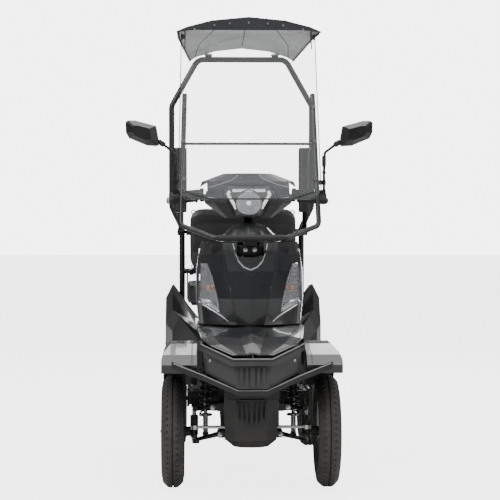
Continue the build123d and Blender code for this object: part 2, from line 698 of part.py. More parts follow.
def make_handlebar():
    """Stem, bent bar and the two brake lever perches."""
    left = [(-x, y, z) for x, y, z in reversed(BAR_POINTS)]
    bar = bent_tube(left[:-1] + BAR_POINTS[1:], 30, BAR_R, BAR_R - 2)
    stem = ring((0, 0, 14), (0, 0, 190), 12.5, 9)
    clamp = block(-22, 22, -18, 18, 182, 210) - rod((-30, 0, 196), (30, 0, 196), BAR_R - 1)
    x, y, z = bar_point(182)
    perch = block(170, 186, y - 52, y, z - 13, z - 8) + block(170, 186, y - 52, y, z + 8, z + 13)
    perch = perch + block(170, 186, y - 16, y + 14, z - 13, z + 13)
    perch = perch + rod((178, y - 44, z - 15), (178, y - 44, z + 15), 4)
    perch = perch - rod(bar_point(150), bar_point(200), BAR_R - 1.5)
    return in_neck(bar + stem + clamp + perch + mirrored(perch))


def brake_lever():
    """Brake lever in tiller coordinates, on its perch pin."""
    x, y, z = bar_point(182)
    y = y - 44
    points = [(170, y - 8), (186, y - 9), (230, y - 2), (300, y + 22), (306, y + 29), (299, y + 33),
              (230, y + 10),
              (186, y + 8), (170, y + 8)]
    lever = slab(points, "z", z - 7.7, z + 7.7)
    return in_neck(lever - rod((178, y, z - 20), (178, y, z + 20), 4 + RUN))


def make_left_grip():
    """Fixed left grip with its end cap."""
    p, q = bar_point(GRIP_IN), bar_point(GRIP_OUT)
    grip = ring(p, q, GRIP_R, BAR_R + 0.02) + rod(q, bar_point(GRIP_OUT + 6), 13)
    return in_neck(grip)


def make_throttle_grip():
    """Right twist grip with its bar-end knob."""
    p, q = bar_point(GRIP_IN), bar_point(GRIP_OUT + 0.5)
    knob = rod(q, bar_point(GRIP_OUT + 10), 14)
    grip = ring(p, q, GRIP_R, BAR_R + RUN) + knob
    return in_neck(mirrored(grip))


def headlamp_outline(y, grow):
    """Outline of the headlamp at a depth."""
    half = [(82 + grow, 1120 + grow), (97 + grow, 1087), (66 + grow, 1036), (49 + grow, 996 - grow)]
    points = half + [(-a, b) for a, b in reversed(half)]
    return Wire.make_polygon([Vector(a, y, b) for a, b in points], close=True)


def make_headlamp():
    """Clear headlamp lens and the dark bowl behind it."""
    lens = Solid.make_loft([headlamp_outline(-325, 0), headlamp_outline(-368, -14)], ruled=True)
    lens = lens - Solid.make_loft([headlamp_outline(-324, -3), headlamp_outline(-365, -17)], ruled=True)
    bowl = Solid.make_loft([headlamp_outline(-324.7, 0), headlamp_outline(-300, -8)], ruled=True)
    bowl = bowl - rod((0, -330, 1052), (0, -306, 1052), 30)
    return group(lens, bowl)


def cowl_levels():
    """Half outlines of the handlebar cowl from its bottom to its top."""
    return [(996, [(0, -338), (40, -337), (82, -290), (92, -240)]),
            (1050, [(0, -352), (50, -350), (128, -300), (165, -235)]),
            (1105, [(0, -350), (55, -345), (152, -285), (190, -205)]),
            (1135, [(0, -325), (50, -322), (132, -270), (178, -200)]),
            (1166, [(0, -265), (35, -262), (70, -235), (95, -195)])]


def make_bar_cowl():
    """Handlebar cowl with the dash behind it."""
    levels = cowl_levels()
    shell = cover(levels, WALL, "z", 1)
    window = Solid.make_loft([headlamp_outline(-280, GAP), headlamp_outline(-400, GAP)], ruled=True)
    shell = shell - window
    top_z, top = levels[-1]
    cap = [(-a, b) for a, b in reversed(top) if a > 0] + list(top)
    shell = shell + slab(cap + [(95, -150), (-95, -150)], "z", top_z - WALL, top_z)
    shell = shell + rod((0, -203, 1095.4), (0, -203, top_z - 1), 8)
    for s in (-1, 1):
        shell = shell - in_neck(block(s * 158, s * 215, -70, 62, 184, 232))
    dash = block(-100, 100, 20, 38, 150, 297) + block(-80, 80, 37, 41, 205, 280)
    dash = dash + block(-16, 16, 18.1, 21, 184, 208)
    dash = dash - rod((60, 30, 178), (60, 45, 178), 5 + RUN)
    return group(shell, in_neck(dash))


def make_ignition_key():
    """Key in the dash."""
    key = rod((60, 30.5, 178), (60, 44, 178), 5)
    return in_neck(key + block(59, 61, 43, 68, 170, 186))


def make_mirror_stems():
    """Mirror stems with boots, clamped to the windscreen frame's legs."""
    points = [MIRROR_FOOT, MIRROR_NUT, MIRROR_ELBOW, MIRROR_BALL]
    stem = bent_tube(points, 12, 5)
    x, y, z = MIRROR_NUT
    stem = stem + rod((x, y, z - 6), (x, y, z), 8) + rod((x, y, z + 20), (x, y, z + 60), 8)
    for height in (1092, 1128):
        clamp = block(LEG_X + 6, x + 7, y - 5, y + 9, height - 9, height + 9)
        stem = stem + (clamp - rod(leg_point(height - 40), leg_point(height + 40), UBAR_R + 0.3))
    return both(stem + Pos(*MIRROR_BALL) * Sphere(9))


def leg_point(z):
    """Axis of the windscreen frame's leg at a height, +X side."""
    share = (z - 1100) / (1465 - 1100)
    return (252 - 9 * share, screen_point(z) + 68, z)


MIRROR_X = 279.0
MIRROR_FOOT = (MIRROR_X, leg_point(1130)[1], 1084.0)
MIRROR_NUT = (MIRROR_X, leg_point(1130)[1], 1168.0)
MIRROR_ELBOW = (MIRROR_X + 3, leg_point(1130)[1], 1240.0)
MIRROR_BALL = (334.0, leg_point(1130)[1] - 4, 1279.0)


def mirror_head():
    """Creased mirror shell with its glass, on the ball."""
    x, y, z = MIRROR_BALL
    front = [(x + 2, z - 10), (x + 8, z + 28), (x + 14, z + 60), (x + 92, z + 81), (x + 120, z + 81),
             (x + 129, z + 74), (x + 128, z + 36), (x + 116, z + 14), (x + 48, z - 14), (x + 12, z - 16)]
    cx, cz = x + 66, z + 32
    wires = []
    for depth, share in ((-34, 0.55), (-14, 0.95), (14, 1.0)):
        wires.append(Wire.make_polygon(
            [Vector(cx + (a - cx) * share, y + depth, cz + (b - cz) * share) for a,
             b in front], close=True))
    head = Solid.make_loft(wires, ruled=True)
    glass_pocket = [(cx + (a - cx) * 0.93, cz + (b - cz) * 0.93) for a, b in front]
    head = head - slab(glass_pocket, "y", y + 11, y + 20)
    glass_edge = [(cx + (a - cx) * 0.925, cz + (b - cz) * 0.925) for a, b in front]
    glass = slab(glass_edge, "y", y + 11, y + 13.5)
    socket = Pos(x, y, z) * Sphere(9.3)
    neck_way = rod((x, y, z), (x - 40, y + 2, z - 33), 9)
    return group(head - socket - neck_way, glass)


# ---------------------------------------------------------------- front suspension and wheels


def make_steering_shaft():
    """Vertical pitman shaft with its arm to the tie rods."""
    shaft = rod((0, FRONT_Y, 168), (0, FRONT_Y, 400), 10)
    arm = block(-14, 14, FRONT_Y - STEER_ARM, FRONT_Y, TIE_Z - 26, TIE_Z - 14)
    arm = arm + rod((0, FRONT_Y - STEER_ARM, TIE_Z - 26), (0, FRONT_Y - STEER_ARM, TIE_Z - 14), 14)
    for s in (-1, 1):
        arm = arm + rod((0, FRONT_Y - STEER_ARM, TIE_Z - 15), (0, FRONT_Y - STEER_ARM, TIE_Z + 12), STUD_R)
    return shaft + arm


def make_tie_rods():
    """Tie rods that run out to both uprights, with their rod ends."""
    y = FRONT_Y - STEER_ARM
    bar = rod((-KING_X + 14, y, TIE_Z), (-14, y, TIE_Z), 6) + rod((14, y, TIE_Z), (KING_X - 14, y, TIE_Z),
                                                                  6)
    middle = ring((0, y, TIE_Z - 9), (0, y, TIE_Z + 9), 15, STUD_R + RUN)
    outer = ring((KING_X, y, TIE_Z - 7), (KING_X, y, TIE_Z + 7), 15, STUD_R + 4.5)
    return bar + middle + outer + mirrored(outer)


def lower_arm():
    """Lower A-arm with its damper fork."""
    (x0, z0), (x1, z1) = LOW_IN, LOW_OUT
    half = BARREL_LEN / 2
    arm = ring((x0, FRONT_Y - half, z0), (x0, FRONT_Y + half, z0), BARREL_R, PIN_R + RUN)
    for s in (-1, 1):
        arm = arm + rod((x0, FRONT_Y + s * (half - 9), z0 - 2), (x1 - 8, FRONT_Y + s * 8, z1), 6)
    arm = arm + rod((x1 - 6, FRONT_Y, z1 - 13), (x1 - 6, FRONT_Y, z1 + 3), 14)
    arm = arm - rod((x0, FRONT_Y - half - 1, z0), (x0, FRONT_Y + half + 1, z0), PIN_R + RUN)
    eye_z = arm_height(DAMPER_X)
    arm = arm + rod((DAMPER_X, FRONT_Y + 13, eye_z), (DAMPER_X, DAMPER_Y + 14, eye_z), 5)
    arm = arm + rod((DAMPER_X, FRONT_Y + 13, eye_z), (DAMPER_X, DAMPER_Y - 9, eye_z), 9)
    arm = arm - Pos(x1, FRONT_Y, z1) * Sphere(BALL_R + RUN)
    return arm - block(x1 + 9, x1 + 40, FRONT_Y - 30, FRONT_Y + 30, z1 - 30, z1 + 30)


def arm_height(x):
    """Height of the lower arm's middle line at a distance out."""
    (x0, z0), (x1, z1) = LOW_IN, LOW_OUT
    return z0 + (x - x0) / (x1 - x0) * (z1 - z0)


def upper_arm():
    """Upper A-arm."""
    (x0, z0), (x1, z1) = UP_IN, UP_OUT
    half = BARREL_LEN / 2
    arm = ring((x0, FRONT_Y - half, z0), (x0, FRONT_Y + half, z0), BARREL_R, PIN_R + RUN)
    for s in (-1, 1):
        arm = arm + rod((x0, FRONT_Y + s * (half - 7), z0), (x1 - 8, FRONT_Y + s * 8, z1), 5)
    arm = arm + rod((x1 - 6, FRONT_Y, z1 - 3), (x1 - 6, FRONT_Y, z1 + 12), 14)
    arm = arm - rod((x0, FRONT_Y - half - 1, z0), (x0, FRONT_Y + half + 1, z0), PIN_R + RUN)
    return arm - Pos(x1, FRONT_Y, z1) * Sphere(BALL_R + RUN)


def damper_rod():
    """Sliding rod of a front damper with its lower eye and spring seat."""
    x, y, z = DAMPER_X, DAMPER_Y, arm_height(DAMPER_X)
    body = rod((x, y, z + 10), (x, y, 385), 7) + ring((x, y - 8, z), (x, y + 8, z), 12, 5 + RUN)
    return body + rod((x, y, 254), (x, y, 261.7), 25) + rod((x, y, z + 9), (x, y, 256), 10)


def kingpin():
    """Kingpin post with the ball of each arm's joint at its ends."""
    low, top = (KING_X, FRONT_Y, LOW_OUT[1]), (KING_X, FRONT_Y, UP_OUT[1])
    return rod(low, top, KING_R) + Pos(*low) * Sphere(BALL_R) + Pos(*top) * Sphere(BALL_R - BALL_PLAY)


def stub_axle():
    """Steering knuckle: kingpin sleeve, stub axle with its nut, and the steering arm."""
    low, top, outer = TIE_Z - 38, UP_OUT[1] - 20, HALF_TRACK + HUB_LEN / 2
    knuckle = rod((KING_X, FRONT_Y, low), (KING_X, FRONT_Y, top), 15)
    knuckle = knuckle + rod((KING_X, FRONT_Y, TYRE_R), (outer + 14, FRONT_Y, TYRE_R), AXLE_R)
    knuckle = knuckle + rod((KING_X, FRONT_Y, TYRE_R), (HALF_TRACK - HUB_LEN / 2 - 0.5, FRONT_Y, TYRE_R),
                            18)
    knuckle = knuckle + rod((outer + 0.5, FRONT_Y, TYRE_R), (outer + 10, FRONT_Y, TYRE_R), 15)
    end = FRONT_Y - STEER_ARM
    knuckle = knuckle + block(KING_X - 9, KING_X + 13, end, FRONT_Y, low, low + 12)
    knuckle = knuckle + rod((KING_X, end, low), (KING_X, end, low + 12), 13)
    knuckle = knuckle + rod((KING_X, end, low + 11), (KING_X, end, TIE_Z + 26), STUD_R)
    return knuckle - rod((KING_X, FRONT_Y, low - 10), (KING_X, FRONT_Y, top + 10), KING_R + RUN)


def wheel(axle_y):
    """Five-spoke wheel with its tyre, on the +X side."""
    x = HALF_TRACK
    turn = Plane(origin=(x, axle_y, TYRE_R), x_dir=(0, 0, 1), z_dir=(0, -1, 0))
    half = RIM_W / 2
    rim_points = [(RIM_R - 12, -half + 8), (RIM_R + 6, -half), (RIM_R + 6, -half + 4),
                  (RIM_R - 6, -half + 10),
                  (RIM_R - 6, half - 10), (RIM_R + 6, half - 4), (RIM_R + 6, half), (RIM_R - 12, half - 8)]
    rim = revolve(turn * make_face(Polyline(*rim_points, close=True)),
                  axis=Axis((x, axle_y, TYRE_R), (1, 0, 0)))
    hub = ring((x - HUB_LEN / 2, axle_y, TYRE_R), (x + HUB_LEN / 2, axle_y, TYRE_R), HUB_R, AXLE_R + RUN)
    spoke = block(x - 10, x + 14, axle_y - 13, axle_y + 13, TYRE_R + HUB_R - 6, TYRE_R + RIM_R - 8)
    spoke = spoke & slab([(x - 10, TYRE_R), (x + 18, TYRE_R), (x + 8, TYRE_R + RIM_R),
                          (x - 4, TYRE_R + RIM_R)], "y",
                         axle_y - 20, axle_y + 20)
    for i in range(5):
        rim = rim + spoke.rotate(Axis((x, axle_y, TYRE_R), (1, 0, 0)), 72 * i)
    rim = rim + hub
    w = TYRE_W / 2
    half_w = RIM_W / 2
    profile = [(RIM_R - 5.5, -half_w + 11), (RIM_R + 6.5, -half_w + 4.2), (RIM_R + 6.5, -half_w - 1),
               (RIM_R + 32, -w),
               (RIM_R + 58, -w + 3), (TYRE_R - 10, -w + 14), (TYRE_R - 2, -w + 24), (TYRE_R, 0)]
    full = profile + [(r, -a) for r, a in reversed(profile[:-1])]
    tyre = revolve(turn * make_face(Polyline(*full, close=True)), axis=Axis((x, axle_y, TYRE_R), (1, 0, 0)))
    for groove in (-18, 0, 18):
        tyre = tyre - (ring((x + groove - 2, axle_y, TYRE_R), (x + groove + 2, axle_y, TYRE_R),
                            TYRE_R + 5, TYRE_R - 6))
    return group(rim, tyre)


# ---------------------------------------------------------------- rear drive


def make_transaxle():
    """Swing arm, axle housing, motor and the rear damper rods."""
    arm = rod((-50, SWING_Y, SWING_Z), (50, SWING_Y, SWING_Z), 15)
    for s in (-1, 1):
        arm = arm + slab([(SWING_Y, SWING_Z - 14), (SWING_Y, SWING_Z + 14), (REAR_Y, TYRE_R + 18),
                          (REAR_Y, TYRE_R - 18)],
                         "x", s * 34, s * 50)
    arm = arm - rod((-60, SWING_Y, SWING_Z), (60, SWING_Y, SWING_Z), PIN_R + 2 + RUN)
    arm = arm + rod((-232, REAR_Y, TYRE_R), (232, REAR_Y, TYRE_R), 28)
    arm = arm + rod((-52, REAR_Y, TYRE_R), (52, REAR_Y, TYRE_R), 66)
    arm = arm + rod((-74, 450, 202), (74, 450, 202), 50)
    arm = arm + rod((-HALF_TRACK - HUB_LEN / 2 - 12, REAR_Y, TYRE_R),
                    (HALF_TRACK + HUB_LEN / 2 + 12, REAR_Y, TYRE_R), AXLE_R)
    for s in (-1, 1):
        x = s * SHOCK_X
        arm = arm + block(x - 9, x + 9, REAR_Y, SHOCK_Y + 12, TYRE_R - 8, TYRE_R + 26)
        arm = arm + rod((x, SHOCK_Y, TYRE_R + 20), (x, SHOCK_Y, 392), SHOCK_ROD_R)
        arm = arm + rod((x, SHOCK_Y, 292), (x, SHOCK_Y, 301.7), 29)
        arm = arm + rod((s * (HALF_TRACK + HUB_LEN / 2 + 0.5), REAR_Y, TYRE_R),
                        (s * (HALF_TRACK + HUB_LEN / 2 + 10), REAR_Y, TYRE_R), 15)
    return arm


# ---------------------------------------------------------------- seat


def make_seat_swivel():
    """Swivel plate with the lower slide rails."""
    low = PAN_Z - 32
    plate = block(-105, 105, POST_Y - 90, POST_Y + 90, low, low + 7)
    plate = plate + rod((0, POST_Y, low - 30), (0, POST_Y, low + 1), SPIGOT_R)
    for s in (-1, 1):
        plate = plate + block(s * 80, s * 100, POST_Y - 150, POST_Y + 150, low + 6, low + 17)
    return plate


def make_seat_frame():
    """Seat pan with its upper slide rails and backrest hinge ears."""
    low = PAN_Z - 14.7
    frame = block(-SEAT_HALF + 15, SEAT_HALF - 15, SEAT_FRONT + 12, BACK_Y + 40, PAN_Z, PAN_Z + 8)
    for s in (-1, 1):
        frame = frame + block(s * 80, s * 100, POST_Y - 130, POST_Y + 130, low, PAN_Z)
        ear = slab([(BACK_HINGE[0] - 20, PAN_Z), (BACK_HINGE[0] + 10, PAN_Z),
                    (BACK_HINGE[0] + 14, BACK_HINGE[1] + 12),
                    (BACK_HINGE[0] - 14,
                     BACK_HINGE[1] + 12)], "x", s * (SEAT_HALF + 1), s * (SEAT_HALF + 7))
        foot = block(s * (SEAT_HALF - 20), s * (SEAT_HALF + 7), BACK_HINGE[0] - 20, BACK_HINGE[0] + 10,
                     PAN_Z, PAN_Z + 8)
        pin = rod((s * (SEAT_HALF - 14), *BACK_HINGE), (s * (SEAT_HALF + 12), *BACK_HINGE), 6)
        frame = frame + ear + foot + pin
    return frame


def make_seat_cushion():
    """Seat cushion, a plain soft block."""
    low = PAN_Z + 8.3
    body = block(-SEAT_HALF, SEAT_HALF, SEAT_FRONT, SEAT_REAR - 2, low, low + CUSHION_T)
    return fillet(body.edges().filter_by(Axis.Z), 45)


def make_backrest():
    """Backrest frame with armrest posts, and the soft pad on it."""
    y, z = BACK_HINGE
    back = BACK_Y + BACK_T
    pad = block(-SEAT_HALF + 8, SEAT_HALF - 8, BACK_Y, back - 14, z + 8, BACK_TOP)
    pad = fillet(pad.edges().filter_by(Axis.Y), 50)
    frame = block(-SEAT_HALF + 20, SEAT_HALF - 20, back - 13.7, back - 6, z - 12, BACK_TOP - 60)
    for s in (-1, 1):
        frame = frame + block(s * (SEAT_HALF - 13), s * (SEAT_HALF - 5), y - 14, back - 6, z - 16, z + 7.7)
        frame = frame + block(s * (SEAT_HALF - 21), s * (SEAT_HALF - 5), back - 13.7, back - 6, z - 16,
                              z + 7.7)
        frame = frame - rod((s * (SEAT_HALF - 20), y, z), (s * (SEAT_HALF + 2), y, z), 6 + RUN)
    py, pz = ARM_PIVOT
    frame = frame + block(-ARM_X + 26, ARM_X - 26, back - 7, back + 3, pz - 14, pz + 14)
    for s in (-1, 1):
        frame = frame + rod((s * (ARM_X - 27), py, pz), (s * (ARM_X + 14), py, pz), 7)
        frame = frame + block(s * (ARM_X - 34), s * (ARM_X - 25), back - 6, py, pz - 14, pz + 14)
    return group(pad, frame)


def armrest():
    """Armrest turned up, with its soft pad."""
    py, pz = ARM_PIVOT
    plate = ring((ARM_X - 12, py, pz), (ARM_X + 12, py, pz), 15, 7 + RUN)
    plate = plate + (block(ARM_X - 10, ARM_X + 10, py - 12, py + 12, pz + 12, pz + 110))
    plate = plate + block(ARM_X - 12, ARM_X + 12, py - 12, py - 2, pz + 90, pz + 350)
    plate = plate - rod((ARM_X - 30, py, pz), (ARM_X + 30, py, pz), 7 + RUN)
    pad = block(ARM_X - 28, ARM_X + 28, py - 46, py - 12.3, pz + 85, pz + 365)
    pad = fillet(pad.edges().filter_by(Axis.Z), 12)
    return group(plate, pad)


PAIRS = {
    "front_wheel": lambda: wheel(FRONT_Y),
    "rear_wheel": lambda: wheel(REAR_Y),
    "kingpin": kingpin,
    "stub_axle": stub_axle,
    "lower_arm": lower_arm,
    "upper_arm": upper_arm,
    "damper_rod": damper_rod,
    "brake_lever": brake_lever,
    "mirror": mirror_head,
    "armrest": armrest,
}

NODES = {
    "frame": lambda: group(make_frame(), make_seat_post()),
    "floor_pan": make_floor_pan,
    "floor_mat": make_floor_mat,
    "power_pack": make_power_pack,
    "damper_tubes": make_damper_tubes,
    "suspension_springs": make_springs,
    "cowl": make_cowl,
    "lamp_lenses": make_lamp_lenses,
    "cowl_top": make_cowl_top,
    "deck": make_deck,
    "front_wings": make_front_wings,
    "bumper_bar": make_bumper_bar,
    "bumper_panel": make_bumper_panel,
    "bumper_lip": make_bumper_lip,
    "belly_cover": make_belly_cover,
    "rear_body": make_rear_body,
    "rear_bumper": make_rear_bumper,
    "charge_socket": make_charge_socket,
    "rear_hoop": make_rear_hoop,
    "windscreen": make_windscreen,
    "screen_frame": make_screen_frame,
    "roof": make_roof,
    "roof_visor": make_roof_visor,
    "canopy_screws": make_canopy_screws,
    "steering_shaft": make_steering_shaft,
    "steering_column": make_steering_column,
    "tie_rods": make_tie_rods,
    "tiller_neck": make_tiller_neck,
    "handlebar": make_handlebar,
    "mirror_stems": make_mirror_stems,
    "left_grip": make_left_grip,
    "throttle_grip": make_throttle_grip,
    "bar_cowl": make_bar_cowl,
    "headlamp": make_headlamp,
    "ignition_key": make_ignition_key,
    "transaxle": make_transaxle,
    "seat_swivel": make_seat_swivel,
    "seat_frame": make_seat_frame,
    "seat_cushion": make_seat_cushion,
    "backrest": make_backrest,
}

os.makedirs("parts", exist_ok=True)
for name, make in NODES.items():
    export_step(make(), "parts/" + name + ".step")
for name, make in PAIRS.items():
    shape = make()
    export_step(shape, "parts/" + name + "_left.step")
    export_step(group(mirrored(shape)), "parts/" + name + "_right.step")
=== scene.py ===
"""Looks of a four-wheel mobility scooter with a windscreen, a roof and a swivel seat."""

import logging
import math
from collections.abc import Callable
from dataclasses import dataclass, field
from enum import Enum

import bmesh
import bpy
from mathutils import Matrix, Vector
from mathutils.bvhtree import BVHTree


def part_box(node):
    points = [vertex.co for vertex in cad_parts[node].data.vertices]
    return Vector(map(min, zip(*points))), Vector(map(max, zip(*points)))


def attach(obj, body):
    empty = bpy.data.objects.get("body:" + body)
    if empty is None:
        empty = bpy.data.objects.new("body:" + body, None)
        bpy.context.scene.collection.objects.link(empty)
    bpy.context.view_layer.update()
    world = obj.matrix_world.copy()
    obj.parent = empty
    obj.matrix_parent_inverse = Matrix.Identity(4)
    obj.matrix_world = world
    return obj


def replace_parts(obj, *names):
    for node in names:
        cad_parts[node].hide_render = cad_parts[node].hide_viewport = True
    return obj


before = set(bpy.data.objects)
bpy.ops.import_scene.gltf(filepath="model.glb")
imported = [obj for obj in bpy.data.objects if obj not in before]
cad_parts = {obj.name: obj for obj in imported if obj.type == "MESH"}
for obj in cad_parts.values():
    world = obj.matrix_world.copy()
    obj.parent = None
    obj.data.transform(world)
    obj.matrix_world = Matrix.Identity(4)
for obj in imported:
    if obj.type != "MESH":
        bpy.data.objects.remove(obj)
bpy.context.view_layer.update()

LOG = logging.getLogger("scooter")
MM = 0.001
SIDES = ((1, "left"), (-1, "right"))
Points = list[Vector]
FaceTest = Callable[[Vector], bool]
Socket = bpy.types.NodeSocket


# ---------------------------------------------------------------- finishes


class Grain(Enum):
    """Surface relief of a finish."""

    FINE = "fine"
    PEBBLE = "pebble"
    BRUSHED = "brushed"
    CAST = "cast"


@dataclass(frozen=True)
class Finish:
    """One paint, plastic, metal, rubber or glass, with its relief, wear and road dust."""

    name: str
    slot: str
    colour: tuple[float, float, float]
    rough: float
    metal: float = 0.0
    coat: float = 0.0
    solid: float = 1.0
    glow: float = 0.0
    grain: Grain = Grain.FINE
    pitch: float = 1.2
    depth: float = 0.06
    dust: float = 0.12

    def material(self) -> bpy.types.Material:
        """Material of this finish, made once.

        Returns:
            The Blender material.
        """
        made = bpy.data.materials.get(self.name)
        if made:
            return made
        made = bpy.data.materials.new(self.name)
        made.use_nodes = True
        nodes, links = made.node_tree.nodes, made.node_tree.links
        shader = nodes["Principled BSDF"]
        shader.inputs["Metallic"].default_value = self.metal
        shader.inputs["Coat Weight"].default_value = self.coat
        shader.inputs["Coat Roughness"].default_value = 0.05
        shader.inputs["Alpha"].default_value = self.solid
        if self.glow:
            shader.inputs["Emission Color"].default_value = (*self.colour, 1)
            shader.inputs["Emission Strength"].default_value = self.glow
        place = nodes.new("ShaderNodeTexCoord").outputs["Object"]
        blotch = self._noise(nodes, links, place, 9.0, 4)
        ramp = nodes.new("ShaderNodeMapRange")
        ramp.inputs["From Min"].default_value, ramp.inputs["From Max"].default_value = 0.3, 0.7
        ramp.inputs["To Min"].default_value = max(0.02, self.rough - 0.05)
        ramp.inputs["To Max"].default_value = min(1.0, self.rough + 0.07)
        links.new(blotch, ramp.inputs["Value"])
        links.new(ramp.outputs["Result"], shader.inputs["Roughness"])
        links.new(self._tint(nodes, links, place), shader.inputs["Base Color"])
        links.new(self._relief(nodes, links, place), shader.inputs["Normal"])
        return made

    @staticmethod
    def _noise(nodes: bpy.types.Nodes, links: bpy.types.NodeLinks, place: Socket, scale: float,
               detail: float) -> Socket:
        """Noise output socket at a scale over Object coordinates."""
        noise = nodes.new("ShaderNodeTexNoise")
        noise.inputs["Scale"].default_value = scale
        noise.inputs["Detail"].default_value = detail
        links.new(place, noise.inputs["Vector"])
        return noise.outputs["Fac"]

    def _tint(self, nodes: bpy.types.Nodes, links: bpy.types.NodeLinks, place: Socket) -> Socket:
        """Colour socket: the finish, a little uneven, with dust that thickens towards the ground."""
        tone = nodes.new("ShaderNodeMix")
        tone.data_type = "RGBA"
        dark = tuple(c * 0.86 for c in self.colour)
        light = tuple(min(1.0, c * 1.12 + 0.004) for c in self.colour)
        tone.inputs["A"].default_value, tone.inputs["B"].default_value = (*dark, 1), (*light, 1)
        links.new(self._noise(nodes, links, place, 38.0, 6), tone.inputs["Factor"])
        split = nodes.new("ShaderNodeSeparateXYZ")
        links.new(place, split.inputs["Vector"])
        height = nodes.new("ShaderNodeMapRange")
        height.inputs["From Min"].default_value, height.inputs["From Max"].default_value = 0.65, 0.02
        height.inputs["To Min"].default_value, height.inputs["To Max"].default_value = 0.0, self.dust
        links.new(split.outputs["Z"], height.inputs["Value"])
        patch = nodes.new("ShaderNodeMath")
        patch.operation = "MULTIPLY"
        links.new(height.outputs["Result"], patch.inputs[0])
        links.new(self._noise(nodes, links, place, 22.0, 8), patch.inputs[1])
        dusty = nodes.new("ShaderNodeMix")
        dusty.data_type = "RGBA"
        dusty.inputs["B"].default_value = (0.33, 0.29, 0.24, 1)
        links.new(tone.outputs["Result"], dusty.inputs["A"])
        links.new(patch.outputs["Value"], dusty.inputs["Factor"])
        return dusty.outputs["Result"]

    def _relief(self, nodes: bpy.types.Nodes, links: bpy.types.NodeLinks, place: Socket) -> Socket:
        """Normal socket of the grain."""
        bump = nodes.new("ShaderNodeBump")
        bump.inputs["Strength"].default_value = self.depth
        bump.inputs["Distance"].default_value = 0.001
        scale = 1.0 / (self.pitch * MM)
        if self.grain is Grain.PEBBLE:
            cells = nodes.new("ShaderNodeTexVoronoi")
            cells.feature = "SMOOTH_F1"
            cells.inputs["Scale"].default_value = scale
            links.new(place, cells.inputs["Vector"])
            links.new(cells.outputs["Distance"], bump.inputs["Height"])
        elif self.grain is Grain.BRUSHED:
            stretch = nodes.new("ShaderNodeMapping")
            stretch.inputs["Scale"].default_value = (0.04, 1.0, 1.0)
            links.new(place, stretch.inputs["Vector"])
            links.new(self._noise(nodes, links, stretch.outputs["Vector"], scale, 3), bump.inputs["Height"])
        else:
            detail = 8 if self.grain is Grain.CAST else 2
            links.new(self._noise(nodes, links, place, scale, detail), bump.inputs["Height"])
        return bump.outputs["Normal"]


LACQUER = Finish("anthracite_lacquer", "body_gloss", (0.022, 0.023, 0.025), 0.3, metal=0.35, coat=0.6,
                 pitch=0.5,
                 depth=0.02)
BLACK = Finish("grained_black_plastic", "black_plastic", (0.012, 0.012, 0.013), 0.46, pitch=0.9, depth=0.14,
               dust=0.12)
GREY = Finish("matte_grey_plastic", "grey_bumper", (0.036, 0.037, 0.039), 0.5, pitch=0.9, depth=0.12,
              dust=0.2)
PALE_GREY = Finish("pale_grey_plastic", "grey_bumper", (0.34, 0.35, 0.36), 0.42, pitch=0.9, depth=0.06)
STEEL = Finish("satin_black_steel", "black_steel", (0.004, 0.004, 0.0045), 0.38, coat=0.1, pitch=1.6,
               depth=0.05,
               dust=0.12)
MACHINED = Finish("machined_steel", "cast_steel", (0.42, 0.42, 0.43), 0.34, metal=1.0, grain=Grain.BRUSHED,
                  depth=0.08)
ZINC = Finish("zinc_plate", "zinc_steel", (0.66, 0.66, 0.65), 0.3, metal=1.0, pitch=0.8)
SPRING = Finish("coated_spring", "spring_steel", (0.02, 0.02, 0.022), 0.32, coat=0.5, dust=0.15)
CASE = Finish("cast_aluminium", "aluminium_case", (0.46, 0.46, 0.47), 0.48, metal=0.9, grain=Grain.CAST,
              pitch=2.0,
              depth=0.22, dust=0.25)
RIM = Finish("black_alloy_rim", "wheel", (0.016, 0.016, 0.018), 0.3, metal=0.4, coat=0.6, dust=0.15)
TYRE = Finish("tyre_rubber", "wheel", (0.02, 0.0188, 0.018), 0.68, pitch=1.0, depth=0.12, dust=0.22)
RUBBER = Finish("moulded_rubber", "rubber", (0.013, 0.013, 0.013), 0.62, pitch=0.8, depth=0.12, dust=0.15)
CREAM = Finish("cream_rubber", "rubber", (0.62, 0.58, 0.48), 0.5)
LENS = Finish("lens_plastic", "clear_lens", (0.5, 0.51, 0.52), 0.04, solid=0.1, depth=0.0, dust=0.0)
RED_LENS = Finish("red_lens", "clear_lens", (0.5, 0.012, 0.01), 0.12, coat=0.8, grain=Grain.PEBBLE,
                  pitch=4.0,
                  depth=0.3, dust=0.05)
AMBER = Finish("amber_bulb", "clear_lens", (0.5, 0.2, 0.1), 0.15, coat=0.6, dust=0.0)
WHITE_LIGHT = Finish("white_light_guide", "clear_lens", (0.95, 0.96, 1.0), 0.2, glow=0.9, dust=0.0)
SCREEN = Finish("clear_screen", "screen", (0.42, 0.43, 0.44), 0.05, solid=0.1, depth=0.0, dust=0.0)
SHELL = Finish("mirror_housing", "mirror_shell", (0.012, 0.012, 0.013), 0.3, coat=0.4)
GLASS = Finish("mirror_glass", "mirror_shell", (0.85, 0.87, 0.88), 0.03, metal=1.0, depth=0.0, dust=0.0)
REFLECTOR = Finish("lamp_reflector", "clear_lens", (0.86, 0.87, 0.89), 0.16, metal=1.0, depth=0.01,
                   dust=0.0)
BOWL = Finish("headlamp_bowl", "clear_lens", (0.3, 0.305, 0.315), 0.14, metal=1.0, depth=0.01, dust=0.0)
CHROME = Finish("bright_trim", "zinc_steel", (0.72, 0.73, 0.74), 0.12, metal=1.0, depth=0.01, dust=0.05)
ROOF = Finish("roof_sheet", "roof_panel", (0.68, 0.69, 0.7), 0.3, coat=0.4, pitch=1.5, depth=0.03)
VISOR = Finish("dark_visor", "visor_dark", (0.035, 0.037, 0.04), 0.26, coat=0.7, pitch=0.8, depth=0.03)
